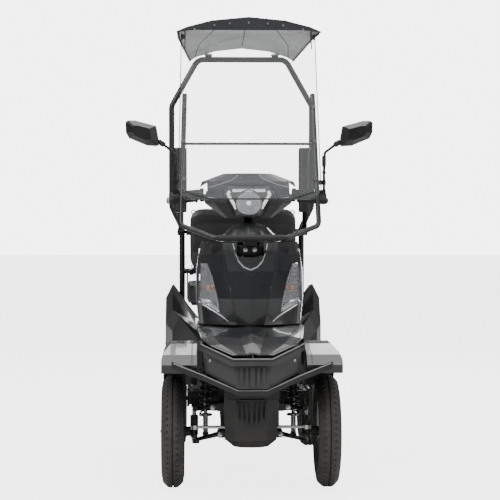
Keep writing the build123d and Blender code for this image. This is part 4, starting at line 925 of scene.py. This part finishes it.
@dataclass
class FrontBody:
    """Leg shield, deck, wings and bumper with their trims, seams, vents and screws."""

    bolt_height: float = 878.0

    def leg_shield(self) -> None:
        """Trims, creases, windscreen mount recess and vents of the leg shield."""
        dress("cowl", LACQUER, BLACK, lambda spot: spot.y > -266)
        dress("cowl_top", LACQUER)
        skin = Skin("cowl")
        rows = []
        for z, half in ((904, 58), (884, 52), (866, 45), (848, 36), (834, 22), (828, 10)):
            found = [skin.ahead(half * share, z) for share in (-1, -0.5, 0, 0.5, 1)]
            if all(found):
                rows.append([spot + normal * 0.8 * MM for spot, normal in found])
        bib = use_modifier(from_rings(rows, closed=False, caps=False), "SOLIDIFY", thickness=1.2 * MM,
                           offset=0)
        piece(bib, "neck_black_bib", BLACK, "chassis")
        vee = strip(skin.ahead, [(-64, 900), (-56, 866), (-44, 838), (-24, 816), (0, 806), (24, 816),
                                 (44, 838), (56, 866),
                                 (64, 900)], 6, 2.6)
        piece(vee, "neck_silver_arc", CHROME, "chassis")
        collar = strip(skin.ahead, [(-84, 896), (-66, 846), (-30, 800), (0, 784), (30, 800), (66, 846),
                                    (84, 896)], 3.5, 1.6)
        piece(collar, "neck_collar_edge", LACQUER, "chassis")
        for sign, side in SIDES:
            crease = strip(skin.ahead, [(sign * 104, 900), (sign * 92, 815), (sign * 70, 720),
                                        (sign * 50, 622)], 3.2, 1.6)
            piece(crease, f"centre_panel_edge_{side}", LACQUER, "chassis")
            # Painted shadow: a thin black strip just outboard of each crease stands for the shade beside
            # the crease.
            shadow = strip(skin.ahead, [(sign * 108, 900), (sign * 96, 815), (sign * 74, 720),
                                        (sign * 54, 622)], 2.2, 0.4)
            piece(shadow, f"centre_panel_painted_shadow_{side}", BLACK, "chassis")
            hit = Skin("cowl")
            line = [(sign * 300, y, z) for y, z in ((-425, 615), (-408, 700), (-396, 800), (-384, 880))]
            spots = [hit.hit(mm(*p), Vector((-sign, 0, 0))) for p in line]
            rings = []
            for spot, normal in (s for s in spots if s):
                back, out = mm(0, 5, 0), normal * 2.2 * MM
                rings.append([spot - back - normal * MM, spot - back * 0.6 + out, spot + back * 0.6 + out,
                              spot + back - normal * MM])
            piece(from_rings(rings), f"side_moulding_{side}", CHROME, "chassis")
            mesh_bars = []
            for i in range(4):
                spot = mm(sign * (126 + 5 * i), -489 + 4 * i, 884 - 3 * i)
                mesh_bars.append(rod(spot + mm(0, 0, -9), spot + mm(0, 0, 8), 1.2, edge=0.2, sides=8))
            piece(joined(mesh_bars), f"vent_bars_{side}", BLACK, "chassis")
            liner = block(mm(sign * 132 - 18, -476, 868), mm(sign * 132 + 18, -473, 896), 1)
            piece(liner, f"vent_liner_{side}", BLACK, "chassis")
        recess = block(mm(-52, -478, 856), mm(52, -475, 893), 1)
        piece(recess, "mount_recess_liner", BLACK, "chassis")
        bolts = [nut(mm(x, -478, self.bolt_height), Vector((0, -1, 0)), 6, 5) for x in (-17, 17)]
        piece(joined(bolts), "mount_recess_bolts", ZINC, "chassis")
        panel_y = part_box("cowl")[1].y / MM
        seams = [block(mm(-150, panel_y - 0.5, z - 1.5), mm(150, panel_y + 1.2, z + 1.5),
                       0.5) for z in (470, 705)]
        piece(joined(seams), "leg_panel_beads", BLACK, "chassis")
        heads = [screw(mm(x, panel_y, z), Vector((0, 1, 0)), 5) for x in (-160, 160) for z in (400, 560,
                                                                                               700, 820)]
        piece(joined(heads), "leg_panel_screws", ZINC, "chassis")
        hook = tube([mm(0, panel_y - 1, 745), mm(0, panel_y + 26, 745), mm(0, panel_y + 42, 742),
                     mm(0, panel_y + 44, 762)], 5)
        plate = block(mm(-16, panel_y - 1, 728), mm(16, panel_y + 3, 764), 1.5)
        piece(joined([hook, plate]), "bag_hook", BLACK, "chassis")

    def top_panel(self) -> None:
        """Edge trims and silver plate of the panel ahead of the tiller."""
        skin = Skin("cowl_top")
        for sign, side in SIDES:
            line = [(sign * 92, -484), (sign * 122, -430), (sign * 104, -372), (sign * 66, -326)]
            piece(strip(skin.above, line, 5, 1.8), f"top_panel_trim_{side}", PALE_GREY, "chassis")
        plate = strip(skin.above, [(-26, -452), (0, -452), (26, -452)], 14, 2.2)
        piece(plate, "top_panel_plate", CHROME, "chassis")

    def deck(self) -> None:
        """Edge bead and seam of the front deck and wings."""
        dress("deck", LACQUER)
        dress("front_wings", LACQUER, BLACK, self.under_wing)
        skin = Skin("deck")
        line = [(-184, -600), (-172, -690), (-142, -742), (-70, -790), (0, -794), (70, -790), (142, -742),
                (172, -690), (184, -600)]
        piece(strip(skin.above, line, 3.5, 1.2), "deck_edge_bead", LACQUER, "chassis")
        seam = strip(skin.above, [(-160, -566), (0, -566), (160, -566)], 3, 0.6)
        piece(seam, "deck_seam", BLACK, "chassis")
        wing = Skin("front_wings")
        for sign, side in SIDES:
            line = [(sign * 214, y) for y in (-715, -660, -600, -540, -480, -420, -360, -310)]
            piece(strip(wing.above, line, 4, 1.4, 14), f"wing_inner_bead_{side}", LACQUER, "chassis")
            rim = []
            for degrees in range(70, 141, 5):
                angle = math.radians(degrees)
                rim.append(mm(sign * 322.5, -480 - 250 * math.cos(angle), 206 + 250 * math.sin(angle)))
            piece(tube(rim, 2.6), f"wing_arch_lip_{side}", BLACK, "chassis")

    @staticmethod
    def under_wing(spot: Vector) -> bool:
        """Whether a point is on the arch over the tyre."""
        return math.hypot(spot.y + 480, spot.z - 206) < 249 and spot.z > 206

    def bumper(self) -> None:
        """Bumper bar, panel and lip with painted highlights along the bar and lip edges, and side strips.
        """
        dress("bumper_bar", GREY)
        dress("bumper_panel", GREY)
        dress("bumper_lip", BLACK)
        dress("belly_cover", BLACK)
        bar = Skin("bumper_bar")
        # Painted highlight: a pale grey strip along the bar's edge stands for the light that edge catches.
        line = [(-182, 551), (-164, 543), (-69, 503), (69, 503), (164, 543), (182, 551)]
        piece(strip(bar.ahead, line, 3, 1.5), "bumper_bar_painted_highlight", PALE_GREY, "chassis")
        lip = Skin("bumper_lip")
        # Painted highlight: a pale grey strip along the black lip stands for the light that its edge
        # catches.
        line = [(-280, 483), (-172, 440), (-52, 389), (52, 389), (172, 440), (280, 483)]
        piece(strip(lip.ahead, line, 3, 1.4), "bumper_lip_painted_highlight", PALE_GREY, "chassis")
        panel = Skin("bumper_panel")
        for sign, side in SIDES:
            line = [(sign * 171, 500), (sign * 162, 455), (sign * 60, 406)]
            piece(strip(panel.ahead, line, 9, 1.6), f"bumper_side_strip_{side}", BLACK, "chassis")
            head = panel.ahead(sign * 150, 492)
            if head:
                piece(screw(head[0], head[1], 5), f"bumper_screw_{side}", ZINC, "chassis")

    def floor(self) -> None:
        """Dress the footboard and add its edge trims and screws."""
        dress("floor_pan", BLACK)
        dress("floor_mat", RUBBER)
        low, high = (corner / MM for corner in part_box("floor_pan"))
        for sign, side in SIDES:
            x = sign * (high.x + 0.6)
            edge = block(mm(min(x, x - sign * 6), low.y + 8, high.z - 7),
                         mm(max(x, x - sign * 6), high.y - 8, high.z + 1.5), 1.5)
            piece(edge, f"footboard_edge_trim_{side}", CHROME, "chassis")
            heads = [screw(mm(sign * 217, y, 330), Vector((0, 0, 1)), 5) for y in (low.y + 30,
                                                                                   (low.y + high.y) / 2,
                                                                                   high.y - 30)]
            piece(joined(heads), f"footboard_screws_{side}", ZINC, "chassis")

    def build(self) -> None:
        """Make all the trims of the front body."""
        self.leg_shield()
        self.top_panel()
        self.deck()
        self.bumper()
        self.floor()


@dataclass
class RearBody:
    """Rear cover, its tail panel and its trims."""

    def build(self) -> None:
        """Dress the rear covers and add seams, strips, screws and a blank plate."""
        dress("rear_body", LACQUER, BLACK, lambda spot: spot.y < 145 and spot.z < 442)
        dress("rear_bumper", BLACK)
        skin = Skin("rear_body")
        for sign, side in SIDES:
            line = [(sign * 206, y) for y in (250, 330, 420, 500, 560, 620, 680, 740)]
            piece(strip(skin.above, line, 3, 0.8, 14), f"rear_cover_seam_{side}", BLACK, "chassis")
            found = [skin.hit(mm(sign * 500, y, 452 + 0.02 * (y - 450)),
                              Vector((-sign, 0, 0))) for y in range(300, 760, 40)]
            rings = []
            for spot, normal in (f for f in found if f):
                up, out = mm(0, 0, 5), normal * 2.2 * MM
                rings.append([spot - up - normal * MM, spot - up * 0.6 + out, spot + up * 0.6 + out,
                              spot + up - normal * MM])
            if len(rings) > 2:
                piece(from_rings(rings), f"rear_fender_moulding_{side}", BLACK, "chassis")
        hatch = [(-110, 560), (110, 560), (110, 660), (-110, 660), (-110, 560)]
        piece(strip(skin.above, hatch, 3, 0.6, 12), "service_hatch_seam", BLACK, "chassis")
        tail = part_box("rear_bumper")[1].y / MM
        heads = [screw(mm(x, tail - 6, z), Vector((0, 1, 0)), 5) for x in (-168, 168) for z in (418, 525)]
        piece(joined(heads), "tail_panel_screws", ZINC, "chassis")
        plate = block(mm(-95, tail - 6.5, 492), mm(95, tail - 4.5, 526), 1)
        piece(plate, "tail_blank_plate", PALE_GREY, "chassis")


# ---------------------------------------------------------------- canopy


@dataclass
class Canopy:
    """Windscreen, roof, hoop and mirrors."""

    def roof(self) -> None:
        """Ribs on top, seams below, edge bead and corner knobs of the roof."""
        dress("roof", ROOF)
        dress("roof_visor", VISOR)
        skin = Skin("roof")
        for x, name in ((-150, "right"), (0, "middle"), (150, "left")):
            line = [(x, y) for y in (-260, -150, -40, 100, 240, 380, 520, 690)]
            piece(strip(skin.above, line, 16, 3.0, 30), f"roof_rib_{name}", ROOF, "chassis")
        line = [(0, y) for y in range(-280, 700, 70)]
        piece(strip(skin.beneath, line, 4, 1.0, 20), "ceiling_middle_seam", GREY, "chassis")
        for sign, side in SIDES:
            line = [(sign * 40, -270), (sign * 110, 60), (sign * 190, 420), (sign * 205, 690)]
            piece(strip(skin.beneath, line, 4, 1.0, 20), f"ceiling_side_seam_{side}", GREY, "chassis")
            edge = [(sign * (268 - max(0, (y - 100)) * 0.0645), y) for y in (-286, -150, 0, 100, 250, 400,
                                                                             550, 715)]
            piece(strip(skin.beneath, edge, 8, 4, 30), f"roof_edge_bead_{side}", RUBBER, "chassis")
            plate = block(mm(sign * 147 - 18, 690, 1708), mm(sign * 147 + 18, 712, 1712), 1)
            piece(plate, f"hoop_clamp_plate_{side}", ZINC, "chassis")
            knob = mm(sign * 244, -232, 1690)
            hub = rod(knob, knob + mm(sign * 14, 0, 0), 9, 7, 1, 20)
            wings = [rod(knob + mm(sign * 8, 0, 0), knob + mm(sign * 10, 16 * a, 12 * a), 5, 3.5, 1,
                         12) for a in (-1, 1)]
            piece(joined([hub, *wings]), f"corner_wing_nut_{side}", BLACK, "chassis")

    def windscreen(self) -> None:
        """Rubber edge and washers of the windscreen and its frame."""
        dress("windscreen", SCREEN)
        dress("screen_frame", STEEL)
        dress("canopy_screws", ZINC)
        dress("rear_hoop", STEEL)
        skin = Skin("windscreen")
        bottom = [(x, 1066 if abs(x) < 236 else 1092) for x in (-262, -236, -150, 0, 150, 236, 262)]
        piece(strip(skin.ahead, bottom, 5, 1.6, 16), "screen_bottom_edge", RUBBER, "chassis")
        for sign, side in SIDES:
            line = [(sign * (266 - (z - 1102) * 0.0168), z) for z in (1102, 1200, 1350, 1500, 1650, 1694)]
            piece(strip(skin.ahead, line, 4, 1.2, 30), f"screen_side_edge_{side}", RUBBER, "chassis")
            washers = []
            for z in (1142, 1284, 1414):
                spot = skin.ahead(sign * 244, z)
                if spot:
                    washers.append(hoop(spot[0] + spot[1] * 1.2 * MM, spot[1], 9.0, 1.8))
            if washers:
                piece(joined(washers), f"screen_washers_{side}", RUBBER, "chassis")
            foot = hoop(mm(sign * 264, 700, 572), Vector((0, 0, 1)), 15, 3.0)
            piece(foot, f"hoop_grommet_{side}", RUBBER, "chassis")
        sleeve = rod(mm(-120, -548, 923), mm(120, -548, 923), 11.5, edge=1)
        piece(sleeve, "screen_tube_sleeve", RUBBER, "chassis")

    def mirrors(self) -> None:
        """Dress the stems and shells with their glass, and add boots."""
        dress("mirror_stems", STEEL)
        for sign, side in SIDES:
            node = f"mirror_{side}"
            low, high = (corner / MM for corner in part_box(node))

            def on_glass(spot: Vector, back: float = high.y, low: Vector = low,
                         high: Vector = high) -> bool:
                """Whether a point is on the glass."""
                inside = low.x + 8 < spot.x < high.x - 8 and low.z + 8 < spot.z < high.z - 8
                return back - 1.6 < spot.y < back - 0.3 and inside
            dress(node, SHELL, GLASS, on_glass)
            cuff = rod(mm(sign * 318, -412, 1266), mm(sign * 330, -412.5, 1276), 9, 11, 1, 20)
            piece(cuff, f"mirror_boot_{side}", RUBBER, "chassis")

    def build(self) -> None:
        """Make the canopy."""
        self.roof()
        self.windscreen()
        self.mirrors()


# ---------------------------------------------------------------- bars


@dataclass
class Bars:
    """Handlebar, grips, switch pods, dash and cowl trims. Tiller places are x, y, z from the pivot."""

    rake: float = 25.0
    pivot: tuple[float, float, float] = (0.0, -290.0, 900.0)
    run_start: tuple[float, float, float] = (170.0, 28.0, 208.0)
    run_end: tuple[float, float, float] = (300.0, 66.0, 210.0)

    def place(self, x: float, y: float, z: float) -> Vector:
        """Point given in tiller coordinates."""
        s, c = math.sin(math.radians(self.rake)), math.cos(math.radians(self.rake))
        return mm(x, self.pivot[1] + y * c + z * s, self.pivot[2] - y * s + z * c)

    def on_bar(self, x: float, sign: int) -> Vector:
        """Point on the bar's outer run."""
        share = (x - self.run_start[0]) / (self.run_end[0] - self.run_start[0])
        _, y, z = (a + (b - a) * share for a, b in zip(self.run_start, self.run_end))
        return self.place(sign * x, y, z)

    def way(self, x: float, y: float, z: float) -> Vector:
        """Direction given in tiller coordinates."""
        return (self.place(x, y, z) - self.place(0, 0, 0)).normalized()

    def tilted_block(self, low: Vector, high: Vector, edge: float) -> bpy.types.Object:
        """Box in tiller coordinates, in millimetres."""
        corners = [[self.place(x, y, z) for x, y in ((low.x, low.y), (high.x, low.y), (high.x, high.y),
                                                     (low.x, high.y))]
                   for z in (low.z, high.z)]
        obj = from_rings(corners)
        return use_modifier(obj, "BEVEL", width=edge * MM, segments=2)

    def grip(self, sign: int, side: str, body: str) -> None:
        """Ribs, flange and end of a grip.

        Args:
            sign: 1 for the left side, -1 for the right.
            side: Name of the side.
            body: CAD body of the grip.
        """
        along = (self.on_bar(300, sign) - self.on_bar(198, sign)).normalized()
        rings = [hoop(self.on_bar(206 + 6 * i, sign), along, 15.7, 1.3) for i in range(15)]
        flange = hoop(self.on_bar(200, sign), along, 17, 3.4)
        piece(joined([*rings, flange]), f"grip_ribs_{side}", RUBBER, body)
        finish = CREAM if sign < 0 else BLACK
        end = self.on_bar(300, sign) + along * 5 * MM
        knob = joined([rod(end - along * 3 * MM, end + along * 3 * MM, 15.2, 14.4, 1),
                       ball(end + along * 2 * MM, 13.5, Vector((0.8, 1, 1)))])
        piece(knob, f"grip_end_{side}", finish, body)

    def switch_pod(self, sign: int, side: str) -> None:
        """Clamped switch housing with its buttons beside a grip."""
        x, y, z = 150 * sign, 22, 206
        pod = self.tilted_block(Vector((x - 13, y - 17, z - 17)), Vector((x + 13, y + 18, z + 18)), 4)
        piece(pod, f"switch_pod_{side}", BLACK, "steering_head")
        colours = (RED, PALE_GREY) if sign > 0 else (PALE_GREY, AMBER)
        for i, finish in enumerate(colours):
            at = self.place(x - 5 + 10 * i, y + 17, z + 6 - 12 * i)
            button = rod(at, at + self.way(0, 1, 0) * 5 * MM, 4.4, 3.8, 0.6, 20)
            piece(button, f"switch_button_{side}_{i + 1}", finish, "steering_head")

    def dash(self) -> None:
        """Display with bar segments, speed dial, buttons, key bezel and screws."""
        glass = self.tilted_block(Vector((-58, 40.4, 236)), Vector((58, 43, 274)), 1.5)
        piece(glass, "dash_display", DISPLAY, "steering_head")
        bars = [self.tilted_block(Vector((-44 + 13 * i, 42.6, 242)),
                                  Vector((-35 + 13 * i, 43.6, 250 + 2.4 * i)), 0.4)
                for i in range(7)]
        piece(joined(bars), "dash_battery_bars", GREEN, "steering_head")
        dial_at = self.place(0, 41, 222)
        out = self.way(0, 1, 0)
        dial = joined([rod(dial_at, dial_at + out * 3 * MM, 13, 12.4, 0.6, 36),
                       rod(dial_at, dial_at + out * 12 * MM, 8.5, 7.5, 1, 12)])
        piece(dial, "dash_speed_dial", BLACK, "steering_head")
        mark = self.tilted_block(Vector((-0.9, 52.6, 222)), Vector((0.9, 53.6, 229)), 0.2)
        piece(mark, "dash_dial_mark", PALE_GREY, "steering_head")
        for i, x in enumerate((-58, -40, 40, 58)):
            at = self.place(x, 41, 218)
            piece(rod(at, at + out * 3 * MM, 6, 5.4, 0.5, 24), f"dash_button_{i + 1}",
                  PALE_GREY if i else RED, "steering_head")
        bezel = hoop(self.place(60, 38.6, 178), out, 8.4, 1.8)
        piece(bezel, "key_bezel", CHROME, "steering_head")
        heads = [screw(self.place(x, 38, z), out, 4) for x in (-88, 88) for z in (162, 286)]
        piece(joined(heads), "dash_screws", ZINC, "steering_head")

    def cowl(self) -> None:
        """Two-tone panels, stripes and corner vents of the handlebar cowl."""
        skin = Skin("bar_cowl")
        dress("bar_cowl", GREY, BLACK, lambda spot: spot.z < 1052 or spot.y > -215 or spot.z > 1163)
        for sign, side in SIDES:
            line = [(sign * 156, 1112), (sign * 140, 1114), (sign * 104, 1124), (sign * 60, 1140),
                    (sign * 40, 1158)]
            piece(strip(skin.ahead, line, 4, 1.6), f"cowl_upper_stripe_{side}", PALE_GREY, "steering_head")
            line = [(sign * 154, 1074), (sign * 128, 1070), (sign * 106, 1066)]
            piece(strip(skin.ahead, line, 4, 1.4), f"cowl_lower_stripe_{side}", PALE_GREY, "steering_head")
            vents = [strip(skin.ahead, [(sign * (124 + 2 * i), 1086 + 7 * i),
                                        (sign * (152 + i), 1089 + 7 * i)], 3.6, 1.0)
                     for i in range(3)]
            piece(joined(vents), f"cowl_vent_slots_{side}", BLACK, "steering_head")
            line = [(sign * 16, 1128), (sign * 9, 1162)]
            piece(strip(skin.ahead, line, 2.4, 1.0), f"cowl_vee_stripe_{side}", BLACK, "steering_head")
            bezel = [(sign * 4, 1125), (sign * 86, 1124), (sign * 101, 1088), (sign * 70, 1034),
                     (sign * 53, 1000)]
            piece(strip(skin.ahead, bezel, 4, 1.8), f"headlamp_surround_{side}", BLACK, "steering_head")

    def build(self) -> None:
        """Make everything that turns with the bars."""
        dress("handlebar", STEEL)
        dress("tiller_neck", STEEL)
        dress("left_grip", RUBBER)
        dress("throttle_grip", RUBBER)
        dress("ignition_key", ZINC)
        self.grip(1, "left", "steering_head")
        self.grip(-1, "right", "throttle")
        for sign, side in SIDES:
            dress(f"brake_lever_{side}", STEEL)
            self.switch_pod(sign, side)
            at = self.place(sign * 178, -6, 208)
            cap = joined([rod(at + self.way(0, 0, 1) * 13 * MM, at + self.way(0, 0, 1) * 17 * MM, 7, 6.4,
                              0.6, 6)])
            piece(cap, f"lever_pivot_cap_{side}", ZINC, "steering_head")
        self.dash()
        self.cowl()


# ---------------------------------------------------------------- running gear


@dataclass
class RunningGear:
    """Frame, suspension and drive with their nuts, boots and fins."""

    def build(self) -> None:
        """Dress the steel and add fixings."""
        dress("frame", STEEL)
        dress("power_pack", BATTERY, CASE, lambda spot: spot.y > 500)
        dress("damper_tubes", STEEL)
        dress("suspension_springs", SPRING)
        dress("steering_shaft", MACHINED)
        dress("steering_column", MACHINED)
        dress("tie_rods", ZINC)
        dress("charge_socket", BLACK, ZINC, lambda spot: math.hypot(spot.x - 90, spot.z - 780) < 9.8)
        dress("transaxle", CASE, STEEL, lambda spot: spot.y < 392 or abs(spot.x) > 90)
        for sign, side in SIDES:
            for node, finish in (("lower_arm", STEEL), ("upper_arm", STEEL), ("damper_rod", MACHINED),
                                 ("kingpin", MACHINED), ("stub_axle", STEEL)):
                dress(f"{node}_{side}", finish)
            out = Vector((sign, 0, 0))
            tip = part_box(f"stub_axle_{side}")[1 if sign > 0 else 0].x
            piece(nut(Vector((tip, -0.48, 0.206)) - out * 5 * MM, out, 9, 6), f"front_axle_nut_{side}",
                  ZINC, f"stub_axle_{side}")
            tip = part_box("transaxle")[1 if sign > 0 else 0].x
            piece(nut(Vector((tip, 0.56, 0.206)) - out * 5 * MM, out, 9, 6), f"rear_axle_nut_{side}", ZINC,
                  "rear_axle")
            boot = [hoop(mm(sign * 165, -405, z), Vector((0, 0, 1)), 12, 2.2) for z in (322, 327, 332)]
            piece(joined(boot), f"front_damper_bump_rubber_{side}", RUBBER, f"damper_rod_{side}")
            back, ahead = Vector((0, 1, 0)), Vector((0, -1, 0))
            bolts = [nut(mm(sign * x, -480 + turn * 46, z), ahead if turn < 0 else back, 6, 4)
                     for x, z in ((111, 199), (139, 299)) for turn in (-1, 1)]
            piece(joined(bolts), f"arm_pivot_nuts_{side}", ZINC, "chassis")
        fins = [hoop(mm(x, 450, 202), Vector((1, 0, 0)), 50, 1.8) for x in range(-60, 61, 12)]
        piece(joined(fins), "motor_fins", CASE, "rear_axle")
        cover = [rod(mm(54 * s, 560, 206), mm(58 * s, 560, 206), 58, 56, 1, 40) for s in (-1, 1)]
        piece(joined(cover), "gear_case_covers", CASE, "rear_axle")
        heads = []
        for s in (-1, 1):
            for i in range(8):
                angle = math.tau * i / 8
                spot = mm(58 * s, 560 + 48 * math.sin(angle), 206 + 48 * math.cos(angle))
                heads.append(rod(spot, spot + mm(4 * s, 0, 0), 4, edge=0.5, sides=6))
        piece(joined(heads), "gear_case_bolts", ZINC, "rear_axle")


# ---------------------------------------------------------------- studio


@dataclass
class Studio:
    """Pale floor, soft lights and the camera."""

    eye: tuple[float, float, float] = (-0.185, -6.37, 1.025)
    aim: tuple[float, float, float] = (0.0, -0.47, 0.877)
    view_angle: float = 17.83
    floor_glow: float = 6.0
    lights: list[tuple] = field(default_factory=lambda: [
        ("key_light", (-3.0, -3.6, 3.4), 2.2, 150.0),
        ("fill_light", (3.6, -2.8, 2.4), 1.8, 80.0),
        ("back_light", (0.6, 3.8, 3.2), 2.6, 120.0),
        ("top_light", (0.0, -0.3, 4.4), 3.4, 130.0),
    ])

    def build(self) -> None:
        """Set the floor, the lights and the camera."""
        clear_selection()
        bpy.ops.mesh.primitive_plane_add(size=60, location=(0, 0, -0.0015))
        floor = bpy.context.object
        floor.name = "studio_floor"
        paint = Finish("studio_floor", "screen", (0.6, 0.6, 0.6), 0.85, dust=0.0).material()
        nodes, links = paint.node_tree.nodes, paint.node_tree.links
        lit = nodes.new("ShaderNodeMath")
        lit.operation = "MULTIPLY"
        lit.inputs[1].default_value = self.floor_glow
        links.new(nodes.new("ShaderNodeLightPath").outputs["Is Camera Ray"], lit.inputs[0])
        nodes["Principled BSDF"].inputs["Emission Color"].default_value = (0.6, 0.6, 0.6, 1)
        links.new(lit.outputs["Value"], nodes["Principled BSDF"].inputs["Emission Strength"])
        floor.data.materials.append(paint)
        world = bpy.data.worlds.new("studio")
        world.use_nodes = True
        nodes, links = world.node_tree.nodes, world.node_tree.links
        background = nodes["Background"]
        place = nodes.new("ShaderNodeTexCoord").outputs["Generated"]
        split = nodes.new("ShaderNodeSeparateXYZ")
        links.new(place, split.inputs["Vector"])
        grade = nodes.new("ShaderNodeValToRGB")
        stops = grade.color_ramp.elements
        stops[0].position, stops[0].color = 0.0, (0.05, 0.05, 0.052, 1)
        stops[1].position, stops[1].color = 0.85, (0.6, 0.6, 0.6, 1)
        links.new(split.outputs["Z"], grade.inputs["Fac"])
        seen = nodes.new("ShaderNodeMix")
        seen.data_type = "RGBA"
        seen.inputs["B"].default_value = (6.0, 6.0, 6.0, 1)
        links.new(nodes.new("ShaderNodeLightPath").outputs["Is Camera Ray"], seen.inputs["Factor"])
        links.new(grade.outputs["Color"], seen.inputs["A"])
        links.new(seen.outputs["Result"], background.inputs["Color"])
        background.inputs["Strength"].default_value = 0.9
        bpy.context.scene.world = world
        for name, place, size, power in self.lights:
            lamp = bpy.data.lights.new(name, "AREA")
            lamp.energy, lamp.size = power, size
            obj = bpy.data.objects.new(name, lamp)
            obj.location = place
            obj.rotation_euler = (Vector((0, 0, 0.8)) - Vector(place)).to_track_quat("-Z", "Y").to_euler()
            bpy.context.scene.collection.objects.link(obj)
        lens = bpy.data.cameras.new("camera")
        lens.angle = math.radians(self.view_angle)
        camera = bpy.data.objects.new("camera", lens)
        camera.location = self.eye
        camera.rotation_euler = (Vector(self.aim) - Vector(self.eye)).to_track_quat("-Z", "Y").to_euler()
        bpy.context.scene.collection.objects.link(camera)
        bpy.context.scene.camera = camera


def main() -> None:
    """Build every sub-assembly in order."""
    logging.basicConfig(level=logging.INFO, format="%(name)s: %(message)s")
    for part in (RunningGear(), Wheels(), FrontBody(), RearBody(), Lights(), Seat(), Canopy(), Bars(),
                 Studio()):
        LOG.info("building %s", type(part).__name__)
        part.build()


if __name__ == "__main__":
    main()
